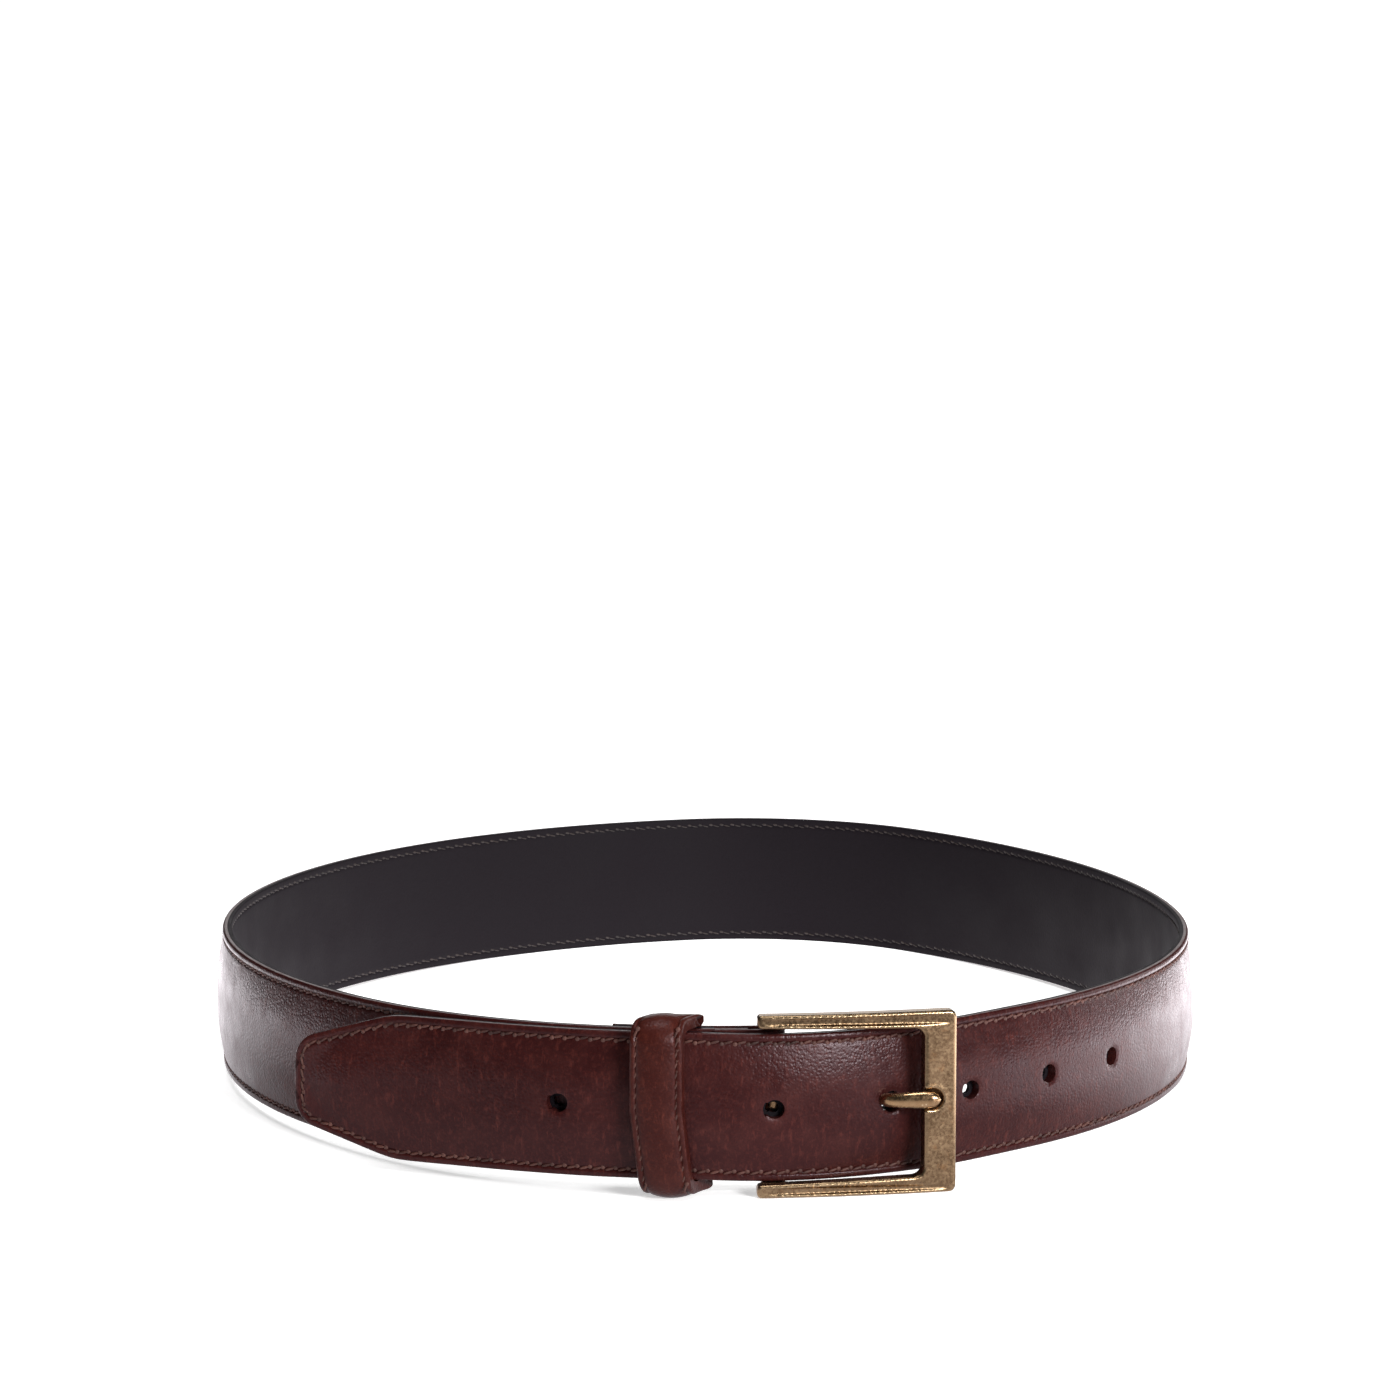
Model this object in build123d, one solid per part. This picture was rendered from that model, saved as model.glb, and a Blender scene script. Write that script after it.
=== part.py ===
from build123d import *
import math
import os

# Leather dress belt, buckled into its loop and standing on edge.
# Plan: +X to the wearer's left along the front, +Y towards the back, +Z up.
# A heading is the direction the strap runs in plan, in degrees from +X.

# ---- strap section (offsets are measured outwards from the lining's inner face)
strap_width = 35.0
edge_thickness = 2.7
crown_thickness = 3.9
lining_thickness = 1.1
face_thickness = 1.55
glue_line = 0.05
margin_width = 4.0
crown_start = 11.0
core_margin = 7.2
thread_size = 0.6
thread_groove = 0.72
thread_inset = 3.0

# ---- plan of the loop (radii of the lining's inner face)
overlap_radius = 135.0
overlap_from = -17.0
overlap_to = 1.0
tip_bend_radius = 230.0
tip_heading = -22.0
buckle_radius = 85.0
buckle_to = 24.5
right_front_radius = 145.0
right_side_radius = 190.0
left_front_radius = 112.0
left_side_radius = 154.0
rear_overlap_from = -14.0
back_radius = 73.0
back_centre = (8.0, 224.0)
overlap_gap = 0.4
hinge_gap_deg = 0.03

# ---- straight end of the strap
tip_length = 47.5
taper_length = 26.0
tip_end_width = 20.0
tip_corner = 5.0
tip_crown_foot = 4.2
tip_crown_top = 10.0

# ---- adjusting holes
hole_pitch = 25.4
hole_radius = 2.4
hole_count = 7
used_hole = 3
used_hole_s = 37.7
slot_shift = 1.4
slot_length = 9.0
slot_width = 5.0

# ---- buckle
frame_height = 44.5
frame_depth = 4.2
frame_radius = 270.0
frame_corner = (9.2, -4.0)
frame_from = 4.0
frame_to = 14.3
bar_width = 8.0
arm_height = 3.3
inner_corner = 1.6
outer_corner = 1.6
pivot_radius = 1.5
pivot_x = 13.1
pivot_depth = 3.8
ear_height = 2.4
ear_inset = 2.0
ear_setback = 1.8
ear_radius = 3.0
pin_cover = 0.3
notch_radius = 2.3
notch_depth = 1.3

# ---- prong
prong_width = 3.2
prong_thickness = 2.5
prong_eye_radius = 2.7
prong_bore_clearance = 0.05
prong_tip_width = 3.9

# ---- fold and turnback
fold_leather = 1.2
fold_clearance = 0.1
fold_slot_width = 6.0
fold_slot_back = 9.0
crown_end = 3.0
lining_end = -0.5
front_leg_from = -0.4
tab_end = -11.3

# ---- keeper loop
keeper_heading = -5.9
keeper_width = 13.0
keeper_gap = 0.5
keeper_wall = 2.7
keeper_face_thickness = 1.3
keeper_lining_thickness = 0.8
keeper_core_thickness = 1.0
keeper_back_thickness = 0.85
keeper_corner = 3.0
keeper_stitch_offset = 4.25
keeper_stitch_pitch = 3.1
keeper_stitch_length = 2.3
keeper_play = 1.1

lift = (frame_height - strap_width) / 2
mid_height = frame_height / 2
rear_drop = crown_thickness + overlap_gap
plan_centre = (0.0, overlap_radius)


def outward(heading):
    """Unit vector pointing out of the loop where the strap runs along heading."""
    return math.sin(math.radians(heading)), -math.cos(math.radians(heading))


def along(centre, distance, heading):
    """Point at a distance from centre in the outward direction."""
    n = outward(heading)
    return centre[0] + distance * n[0], centre[1] + distance * n[1]


def next_centre(centre, radius, new_radius, heading):
    """Centre of the arc that carries on tangent to an arc at heading."""
    return along(centre, radius - new_radius, heading)


def side_centre(front, front_r, side_r, side):
    """Centre of a side arc tangent to a front arc and to the back arc."""
    dx, dy = back_centre[0] - front[0], back_centre[1] - front[1]
    d = math.hypot(dx, dy)
    to_front, to_back = side_r - front_r, side_r - back_radius
    a = (to_front**2 - to_back**2 + d**2) / (2 * d)
    h = math.sqrt(to_front**2 - a**2)
    x = front[0] + a * dx / d - side * h * dy / d
    y = front[1] + a * dy / d + side * h * dx / d
    return x, y


def heading_between(centre, other):
    """Heading at which an arc about centre meets the inner arc about other."""
    return math.degrees(math.atan2(other[0] - centre[0], centre[1] - other[1]))


def free_arcs():
    """Arcs of the free half from the straight end round to the back centre."""
    bend = next_centre(plan_centre, overlap_radius, tip_bend_radius, overlap_from)
    buckle = next_centre(plan_centre, overlap_radius, buckle_radius, overlap_to)
    front = next_centre(buckle, buckle_radius, right_front_radius, buckle_to)
    side = side_centre(front, right_front_radius, right_side_radius, 1)
    meet_front = heading_between(side, front)
    meet_back = heading_between(side, back_centre)
    return [
        (bend, tip_bend_radius, tip_heading, overlap_from),
        (plan_centre, overlap_radius, overlap_from, overlap_to),
        (buckle, buckle_radius, overlap_to, buckle_to),
        (front, right_front_radius, buckle_to, meet_front),
        (side, right_side_radius, meet_front, meet_back),
        (back_centre, back_radius, meet_back, 180.0 - hinge_gap_deg),
    ]


def rear_arcs(front_end):
    """Arcs of the buckle half from the back centre round to front_end."""
    inner = overlap_radius - rear_drop
    front = next_centre(plan_centre, inner, left_front_radius, rear_overlap_from)
    side = side_centre(front, left_front_radius, left_side_radius, -1)
    meet_front = heading_between(side, front)
    meet_back = heading_between(side, back_centre)
    return [
        (back_centre, back_radius, -180.0 + hinge_gap_deg, meet_back),
        (side, left_side_radius, meet_back, meet_front),
        (front, left_front_radius, meet_front, rear_overlap_from),
        (plan_centre, inner, rear_overlap_from, front_end),
    ]


def swing(section, centre, start, end):
    """Revolve a section drawn at (radius, height) round centre between headings."""
    solid = revolve(Plane.XZ * section, axis=Axis.Z, revolution_arc=end - start)
    return Pos(centre[0], centre[1], 0) * Rot(0, 0, start - 90) * solid


def run(section_at, arcs):
    """One solid following all the arcs; section_at draws it for a line radius."""
    solids = [swing(section_at(r), c, a, b) for c, r, a, b in arcs]
    joined = solids[0]
    for solid in solids[1:]:
        joined = joined + solid
    return joined


def crown_line(offset, foot, top, rise):
    """Smooth S from the flat margin up to the crown, and its mirror image."""
    third = (top - foot) / 2.5
    low, high = lift + foot, lift + top
    up = Bezier((offset, low), (offset, low + third), (offset + rise, high - third), (offset + rise, high))
    low, high = lift + strap_width - foot, lift + strap_width - top
    down = Bezier((offset + rise, high), (offset + rise, high + third), (offset, low - third), (offset, low))
    return up, down


def crowned_section(inner, outer, rise, r):
    """Section of a leather ply with flat margins and a raised centre."""
    z0, z1 = lift, lift + strap_width
    up, down = crown_line(r + outer, margin_width, crown_start, rise)
    inner_up, inner_down = crown_line(r + inner, margin_width, crown_start, rise)
    edges = [Line((r + inner, z0), (r + outer, z0)), Line((r + outer, z0), up @ 0), up]
    edges += [Line(up @ 1, down @ 0), down, Line(down @ 1, (r + outer, z1))]
    edges += [Line((r + outer, z1), (r + inner, z1)), Line((r + inner, z1), inner_down @ 1), inner_down]
    edges += [Line(inner_down @ 0, inner_up @ 1), inner_up, Line(inner_up @ 0, (r + inner, z0))]
    return make_face(edges)


def slab_section(inner, outer, z0, z1, r):
    """Plain rectangular section between two offsets and two heights."""
    return Pos(r + (inner + outer) / 2, (z0 + z1) / 2) * Rectangle(outer - inner, z1 - z0)


def thread_rows(offset, size, r):
    """Square sections of the two stitch rows of one strap face."""
    rows = [lift + thread_inset, lift + strap_width - thread_inset]
    return [Pos(r + offset, z) * Rectangle(size, size) for z in rows]


def face_section(r):
    """Face leather with a groove for each stitch row."""
    inner = edge_thickness - face_thickness
    section = crowned_section(inner, edge_thickness, crown_thickness - edge_thickness, r)
    for groove in thread_rows(edge_thickness, thread_groove, r):
        section = section - groove
    return section


def lining_section(r):
    """Lining leather with a groove for each bobbin row."""
    section = slab_section(0, lining_thickness, lift, lift + strap_width, r)
    for groove in thread_rows(0, thread_groove, r):
        section = section - groove
    return section


def core_section(r):
    """Padding that raises the centre of the strap."""
    inner = lining_thickness + glue_line
    rise = crown_thickness - face_thickness - glue_line - inner
    up, down = crown_line(r + inner, core_margin, crown_start + 1, rise)
    edges = [up, Line(up @ 1, down @ 0), down, Line(down @ 1, up @ 0)]
    return make_face(edges)


def thread_run(offset, arcs):
    """The two stitch rows of one face, each a separate bead."""
    beads = []
    for row in range(2):
        beads.append(run(lambda r: thread_rows(offset, thread_size, r)[row], arcs))
    return beads


def tip_plane(offset):
    """Plane of the straight end: x along the strap from its root, y up, z outwards."""
    root = along(free_arcs()[0][0], tip_bend_radius + offset, tip_heading)
    t = math.radians(tip_heading)
    n = outward(tip_heading)
    towards_end = (-math.cos(t), -math.sin(t), 0)
    return Plane(origin=(root[0], root[1], mid_height), x_dir=towards_end, z_dir=(n[0], n[1], 0))


def tip_outline(inset, root_inset=0.0):
    """Outline of the straight end, drawn inside the edge by inset."""
    half, end_half = strap_width / 2 - inset, tip_end_width / 2 - inset * 0.8
    end = tip_length - inset
    taper = tip_length - taper_length
    corner = max(tip_corner - inset, 0.6)
    lower = [(root_inset, -half), (taper, -half), (end, -end_half)]
    upper = [(end, end_half), (taper, half), (root_inset, half)]
    shape = make_face(Polyline(*lower, *upper, close=True))
    corners = shape.vertices().sort_by(Axis.X)[-2:]
    return fillet(corners, corner)


def tip_slab(inner, outer, inset=0.0):
    """Plate of the straight end between two offsets."""
    return extrude(tip_plane(inner) * tip_outline(inset), amount=outer - inner)


def tip_crown(inner, outer, foot, top):
    """Raised centre of the straight end."""
    low = tip_plane(inner) * tip_outline(foot)
    high = tip_plane(outer) * tip_outline(top)
    return loft([low, high])


def tip_band(offset, size):
    """Square bead that follows the stitch line round the straight end."""
    outer = tip_outline(thread_inset - size / 2)
    inner = tip_outline(thread_inset + size / 2)
    band = extrude(tip_plane(offset - size / 2) * (outer - inner), amount=size)
    return band


def tip_face():
    """Face leather of the straight end."""
    inner = edge_thickness - face_thickness
    rise = crown_thickness - edge_thickness
    raised = tip_crown(edge_thickness, crown_thickness, tip_crown_foot, tip_crown_top)
    hollow = tip_crown(inner, inner + rise, tip_crown_foot, tip_crown_top)
    return tip_slab(inner, edge_thickness) + raised - hollow - tip_band(edge_thickness, thread_groove)


def tip_lining():
    """Lining of the straight end."""
    return tip_slab(0, lining_thickness) - tip_band(0, thread_groove)


def tip_core():
    """Padding of the straight end."""
    inner = lining_thickness + glue_line
    outer = crown_thickness - face_thickness - glue_line
    return tip_crown(inner, outer, core_margin, tip_crown_top + 1)


def place_on(arcs, s):
    """Arc and heading at a distance s along the free half from heading zero."""
    position = s
    for centre, radius, start, end in arcs[1:]:
        begin = max(start, 0.0) if start < 0 < end else start
        length = radius * math.radians(end - begin)
        if position <= length:
            return centre, radius, begin + math.degrees(position / radius)
        position -= length
    return centre, radius, end


def punch(s, shape):
    """Cutter through the strap at s, square to its face."""
    if s >= 0:
        centre, radius, heading = place_on(free_arcs(), s)
    else:
        centre, radius = plan_centre, overlap_radius
        heading = math.degrees(s / overlap_radius)
    origin = along(centre, radius - 5, heading)
    n = outward(heading)
    plane = Plane(origin=(origin[0], origin[1], mid_height), x_dir=(n[1], -n[0], 0), z_dir=(n[0], n[1], 0))
    return extrude(plane * shape, amount=15)


def hole_cutters():
    """Round holes, with the one in use worn into a slot by the prong."""
    cutters = []
    for i in range(hole_count):
        s = used_hole_s + (i - used_hole) * hole_pitch
        if i == used_hole:
            cutters.append(punch(s + slot_shift, SlotOverall(slot_length, slot_width)))
        else:
            cutters.append(punch(s, Circle(hole_radius)))
    return cutters


def cut_holes(solid):
    """Strap ply with all the holes punched through."""
    for cutter in hole_cutters():
        solid = solid - cutter
    return solid


def pivot_point():
    """Plan position of the buckle's pivot pin."""
    r = overlap_radius - pivot_depth
    heading = math.degrees(math.asin(pivot_x / r))
    return along(plan_centre, r, heading), r, heading


def save(solid, node, middle):
    """Write one sub-part, moved so the whole object stands centred on the origin."""
    placed = Pos(-middle[0], -middle[1], 0) * solid
    placed.label = node
    export_step(placed, f"parts/{node}.step")
    print(node, round(placed.volume, 1), len(placed.solids()), placed.is_valid)


def free_ply(section_at, end_piece):
    """One ply of the free half: straight end plus the arcs, punched."""
    return cut_holes(run(section_at, free_arcs()) + end_piece)


def free_thread(offset):
    """Stitching of one side of the free half, down both edges and round the end."""
    lower, upper = thread_run(offset, free_arcs())
    return lower + upper + tip_band(offset, thread_size)


def fold_ring(inner, outer, height):
    """Ring of leather or metal round the pivot pin."""
    (x, y), _, _ = pivot_point()
    ring = Cylinder(outer, height) - Cylinder(inner, height)
    return Pos(x, y, mid_height) * ring


def fold_half(inner, outer):
    """Half of the ring that closes the fold at the buckle end."""
    (x, y), _, heading = pivot_point()
    keep = Pos(outer, 0, 0) * Box(2 * outer, 4 * outer, 2 * strap_width)
    return fold_ring(inner, outer, strap_width) & (Pos(x, y, mid_height) * Rot(0, 0, heading) * keep)


def leg(inner, outer, start, end):
    """Flat run of leather about the overlap centre."""
    return swing(slab_section(inner, outer, lift, lift + strap_width, 0), plan_centre, start, end)


def face_buckle_side():
    """Face leather of the buckle half, folded round the pin and turned back."""
    _, pin_r, heading = pivot_point()
    inner = pivot_radius + fold_clearance
    outer = inner + fold_leather
    strap = run(face_section, rear_arcs(crown_end))
    front = leg(pin_r + inner, pin_r + outer, front_leg_from, heading)
    back = leg(pin_r - outer, pin_r - inner, tab_end, heading)
    folded = strap + front + fold_half(inner, outer) + back
    return folded - fold_slot()


def fold_slot():
    """Slot in the fold that lets the prong through."""
    (x, y), _, heading = pivot_point()
    reach = 8.0
    box = Box(reach + fold_slot_back, 20, fold_slot_width)
    return Pos(x, y, mid_height) * Rot(0, 0, heading) * Pos((reach - fold_slot_back) / 2, 0, 0) * box


def turnback_filler():
    """Plies that pack out the turnback on both sides of the keeper."""
    half = math.degrees((keeper_width / 2 + keeper_play) / overlap_radius)
    _, pin_r, _ = pivot_point()
    outer = overlap_radius - rear_drop - glue_line
    inner = pin_r - pivot_radius - fold_clearance + glue_line
    left = leg(inner, outer, tab_end + 0.3, keeper_heading - half)
    right = leg(inner, outer, keeper_heading + half, lining_end)
    return left + right


def stitch(length, size):
    """One raised stitch with rounded ends, lying along Z."""
    shank = Cylinder(size / 2, length - size)
    ends = Pos(0, 0, (length - size) / 2) * Sphere(size / 2)
    return shank + ends + Pos(0, 0, -(length - size) / 2) * Sphere(size / 2)


def stitch_column(radius, heading, count, pitch, length):
    """Column of stitches standing on a face about the overlap centre."""
    x, y = along(plan_centre, radius, heading)
    bottom = mid_height - (count - 1) * pitch / 2
    column = []
    for i in range(count):
        column.append(Pos(x, y, bottom + i * pitch) * stitch(length, thread_size))
    return column


def turnback_stitching():
    """Stitch columns that close the turnback each side of the keeper."""
    _, pin_r, _ = pivot_point()
    radius = pin_r - pivot_radius - fold_clearance - fold_leather - thread_size / 2 - glue_line
    half = math.degrees((keeper_width / 2 + 1.6) / overlap_radius)
    count = int((strap_width - 2 * thread_inset) / keeper_stitch_pitch)
    columns = stitch_column(radius, keeper_heading - half, count, keeper_stitch_pitch, keeper_stitch_length)
    columns += stitch_column(radius, keeper_heading + half, count, keeper_stitch_pitch, keeper_stitch_length)
    return Compound(columns)


def keeper_band(r0, r1, z_half, corner):
    """Solid rounded bar about the overlap centre, wide as the keeper."""
    half = math.degrees(keeper_width / 2 / overlap_radius)
    section = Pos((r0 + r1) / 2, mid_height) * RectangleRounded(r1 - r0, 2 * z_half, corner)
    return swing(section, plan_centre, keeper_heading - half, keeper_heading + half)


def keeper_layers():
    """Radii and half-heights that the keeper's plies share."""
    inner_front = overlap_radius + crown_thickness + keeper_gap
    back_outer = overlap_radius - rear_drop - 0.1
    cavity = strap_width / 2 + keeper_gap
    lining_front = inner_front + keeper_lining_thickness
    face_inner = lining_front + keeper_core_thickness + 2 * glue_line
    return inner_front, back_outer, cavity, lining_front, face_inner


def keeper_face():
    """Outer leather of the keeper, closed round the back."""
    _, back_outer, cavity, _, face_inner = keeper_layers()
    wall = keeper_wall - keeper_face_thickness
    back_inner = back_outer - keeper_back_thickness
    front = face_inner + keeper_face_thickness
    outside = keeper_band(back_inner, front, cavity + keeper_wall, keeper_corner)
    inside = keeper_band(back_outer, face_inner, cavity + wall, keeper_corner - keeper_face_thickness)
    return outside - inside


def keeper_lining():
    """Lining of the keeper over the front and both edges."""
    inner_front, back_outer, cavity, lining_front, _ = keeper_layers()
    wall = keeper_wall - keeper_face_thickness
    corner = keeper_corner - keeper_face_thickness
    outside = keeper_band(back_outer + glue_line, lining_front, cavity + wall - glue_line, corner)
    inside = keeper_band(back_outer - 5, inner_front, cavity, 0.5)
    return outside - inside


def keeper_core():
    """Padding between the keeper's lining and face."""
    _, _, cavity, lining_front, face_inner = keeper_layers()
    return keeper_band(lining_front + glue_line, face_inner - glue_line, cavity - 1, 0.3)


def keeper_thread():
    """Two rows of stitches down the front of the keeper."""
    _, _, cavity, _, face_inner = keeper_layers()
    radius = face_inner + keeper_face_thickness + thread_size / 2 + glue_line
    turn = math.degrees(keeper_stitch_offset / overlap_radius)
    count = int(2 * cavity / keeper_stitch_pitch)
    columns = stitch_column(radius, keeper_heading - turn, count, keeper_stitch_pitch, keeper_stitch_length)
    columns += stitch_column(radius, keeper_heading + turn, count, keeper_stitch_pitch, keeper_stitch_length)
    return Compound(columns)


def frame_centre():
    """Centre of the arc the buckle frame follows."""
    return along(frame_corner, -frame_radius, frame_from)


def frame_plate(r0, r1, z0, z1, start, end):
    """Piece of curved plate about the buckle frame's centre."""
    return swing(slab_section(r0, r1, z0, z1, 0), frame_centre(), start, end)


def buckle_frame():
    """Cast three-sided frame with ears that carry the pivot pin."""
    back = frame_radius - frame_depth
    plate = frame_plate(back, frame_radius, 0, frame_height, frame_from, frame_to)
    end_edges = plate.edges().filter_by(lambda e: abs(e.length - frame_depth) < 0.1)
    plate = fillet(end_edges.sort_by(Axis.X)[-2:], outer_corner)
    bar_start = frame_to - math.degrees(bar_width / frame_radius)
    top = frame_height - arm_height
    window = frame_plate(back - 1, frame_radius + 1, arm_height, top, frame_from - 2, bar_start)
    radial_edges = window.edges().filter_by(lambda e: abs(e.length - frame_depth - 2) < 0.1)
    window = fillet(radial_edges.sort_by(Axis.X)[-2:], inner_corner)
    frame = plate - window - frame_notch()
    ear_middle = ear_inset + ear_height / 2
    for z in (ear_middle, frame_height - ear_middle):
        frame = frame + ear(z)
    return frame - pin_bore()


def ear(z):
    """Lug behind the end of an arm, round about the pin."""
    (x, y), _, heading = pivot_point()
    boss = Pos(x, y, z) * Cylinder(ear_radius, ear_height)
    web_depth = y - frame_corner[1] - ear_setback
    web = Pos(x, y - web_depth / 2, z) * Box(2 * ear_radius, web_depth, ear_height)
    return boss + web


def frame_notch():
    """Shallow seat in the front of the bar that the prong rests in."""
    middle = frame_to - math.degrees(bar_width / 2 / frame_radius)
    x, y = along(frame_centre(), frame_radius + notch_radius - notch_depth, middle)
    return Pos(x, y, mid_height) * Rot(0, 0, middle) * Rot(0, 90, 0) * Cylinder(notch_radius, 3 * bar_width)


def pin_bore():
    """Hole through both ears, a press fit on the pin."""
    (x, y), _, _ = pivot_point()
    return Pos(x, y, mid_height) * Cylinder(pivot_radius, pin_length() + 0.02)


def pin_length():
    """Pin length, just inside the ears' outer faces."""
    return frame_height - 2 * (ear_inset + pin_cover)


def pivot_bar():
    """Steel pin across the fold."""
    (x, y), _, _ = pivot_point()
    return Pos(x, y, mid_height) * Cylinder(pivot_radius, pin_length())


def prong_path():
    """Centreline of the prong in plan, from the pin over the bar."""
    (x, y), _, _ = pivot_point()
    steps = [(0, 0), (8, 1.4), (19.4, 3.6), (27.9, 1.0), (34.5, -2.4), (40.3, -2.9)]
    return [Vector(x + dx, y + dy, mid_height) for dx, dy in steps]


def prong():
    """Cranked tongue with an eye round the pin and a rounded nose."""
    points = prong_path()
    shank_line = Spline(*points, tangents=[points[1] - points[0], Vector(1, 0.02, 0)])
    start = Plane(origin=shank_line @ 0, z_dir=shank_line % 0, x_dir=(0, 0, 1))
    shank = sweep(start * RectangleRounded(prong_width, prong_thickness, 0.9), path=shank_line)
    nose = Pos(*points[-1]) * scale(Sphere(1), by=(2.6, prong_thickness / 2, prong_tip_width / 2))
    (x, y), _, _ = pivot_point()
    eye = Pos(x, y, mid_height) * Cylinder(prong_eye_radius, prong_width)
    bore = Pos(x, y, mid_height) * Cylinder(pivot_radius + prong_bore_clearance, 2 * prong_width)
    return shank + nose + eye - bore


def build_pieces():
    """Every sub-part by node name."""
    rear = rear_arcs(lining_end)
    return {
        "face_buckle_side": face_buckle_side(),
        "core_buckle_side": run(core_section, rear),
        "lining_buckle_side": run(lining_section, rear),
        "needle_thread_buckle_side": Compound(thread_run(edge_thickness, rear_arcs(front_leg_from))),
        "bobbin_thread_buckle_side": Compound(thread_run(0, rear_arcs(tab_end - 0.5))),
        "turnback_filler": turnback_filler(),
        "turnback_stitching": turnback_stitching(),
        "face_free_side": free_ply(face_section, tip_face()),
        "core_free_side": free_ply(core_section, tip_core()),
        "lining_free_side": free_ply(lining_section, tip_lining()),
        "needle_thread_free_side": free_thread(edge_thickness),
        "bobbin_thread_free_side": free_thread(0),
        "buckle_frame": buckle_frame(),
        "pivot_bar": pivot_bar(),
        "prong": prong(),
        "keeper_face": keeper_face(),
        "keeper_core": keeper_core(),
        "keeper_lining": keeper_lining(),
        "keeper_thread": keeper_thread(),
    }


def plan_middle(pieces):
    """Middle of the object's plan: strap sides, back centre, and the foremost fitting."""
    front_pieces = [pieces[n] for n in ("keeper_thread", "keeper_face", "prong", "buckle_frame")]
    left_centre, left_radius = rear_arcs(lining_end)[1][:2]
    right_centre, right_radius = free_arcs()[4][:2]
    low_x = left_centre[0] - left_radius - crown_thickness
    high_x = right_centre[0] + right_radius + crown_thickness
    low_y = min(piece.bounding_box().min.Y for piece in front_pieces)
    high_y = back_centre[1] + back_radius + crown_thickness
    return (low_x + high_x) / 2, (low_y + high_y) / 2


os.makedirs("parts", exist_ok=True)
belt = build_pieces()
centre_of_plan = plan_middle(belt)
for name, piece in belt.items():
    save(piece, name, centre_of_plan)
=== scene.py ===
import bpy
import bmesh
import math
import numpy as np
from mathutils import Matrix, Vector


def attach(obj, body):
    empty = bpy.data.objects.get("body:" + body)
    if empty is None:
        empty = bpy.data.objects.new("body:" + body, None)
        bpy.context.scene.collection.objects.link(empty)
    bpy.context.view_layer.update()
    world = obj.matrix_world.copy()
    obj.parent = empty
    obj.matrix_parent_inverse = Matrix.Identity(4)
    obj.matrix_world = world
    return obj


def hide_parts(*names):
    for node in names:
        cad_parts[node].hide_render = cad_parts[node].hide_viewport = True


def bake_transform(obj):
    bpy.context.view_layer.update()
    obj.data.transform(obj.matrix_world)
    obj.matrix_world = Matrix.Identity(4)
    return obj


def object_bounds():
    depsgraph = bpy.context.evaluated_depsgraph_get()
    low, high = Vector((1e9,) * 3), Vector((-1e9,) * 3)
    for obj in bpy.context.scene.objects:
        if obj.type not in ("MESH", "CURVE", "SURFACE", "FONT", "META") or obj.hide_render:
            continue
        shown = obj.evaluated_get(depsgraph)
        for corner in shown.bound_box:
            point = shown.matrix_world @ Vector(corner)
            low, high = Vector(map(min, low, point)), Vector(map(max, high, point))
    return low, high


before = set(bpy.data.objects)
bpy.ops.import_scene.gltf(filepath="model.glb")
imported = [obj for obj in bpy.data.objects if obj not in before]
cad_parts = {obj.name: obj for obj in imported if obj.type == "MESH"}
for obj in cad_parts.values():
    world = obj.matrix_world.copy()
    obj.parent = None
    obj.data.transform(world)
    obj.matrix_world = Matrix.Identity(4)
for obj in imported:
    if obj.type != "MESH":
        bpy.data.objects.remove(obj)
cad_low, cad_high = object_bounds()

# All lengths below are in millimetres until mesh_object() turns them into metres.
MM = 0.001

# ---------------------------------------------------------------- strap sizes
WIDTH = 35.8
HALF = WIDTH / 2
EDGE = 2.35
CROWN = 3.9
LINING = 1.1
OVERLAP_GAP = 0.4
STITCH_IN = 2.05
STITCH_PITCH = 3.1
FRAME_HEIGHT = 44.5
MID = FRAME_HEIGHT / 2

# ---------------------------------------------------------------- plan of the loop
OVERLAP_R = 135.0
BACK_C = np.array([8.0, 224.0])
BACK_R = 73.0
HINGE_GAP = 0.03


def outward(h):
    h = np.radians(h)
    return np.array([np.sin(h), -np.cos(h)])


def next_centre(c, r, new_r, h):
    return c + (r - new_r) * outward(h)


def side_centre(front, front_r, side_r, side):
    d = BACK_C - front
    dist = np.hypot(*d)
    to_front, to_back = side_r - front_r, side_r - BACK_R
    a = (to_front**2 - to_back**2 + dist**2) / (2 * dist)
    h = math.sqrt(to_front**2 - a**2)
    u = d / dist
    return front + a * u + side * h * np.array([-u[1], u[0]])


def heading_between(c, other):
    return math.degrees(math.atan2(other[0] - c[0], c[1] - other[1]))


PLAN_C = np.array([0.0, OVERLAP_R])
BEND_C = next_centre(PLAN_C, OVERLAP_R, 230.0, -17.0)
BUCKLE_C = next_centre(PLAN_C, OVERLAP_R, 85.0, 1.0)
FRONT_C = next_centre(BUCKLE_C, 85.0, 145.0, 24.5)
RIGHT_C = side_centre(FRONT_C, 145.0, 190.0, 1)
RIGHT_A, RIGHT_B = heading_between(RIGHT_C, FRONT_C), heading_between(RIGHT_C, BACK_C)
REAR_R = OVERLAP_R - CROWN - OVERLAP_GAP
LEFTF_C = next_centre(PLAN_C, REAR_R, 112.0, -14.0)
LEFT_C = side_centre(LEFTF_C, 112.0, 154.0, -1)
LEFT_A, LEFT_B = heading_between(LEFT_C, LEFTF_C), heading_between(LEFT_C, BACK_C)
TIP = 47.5

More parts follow.
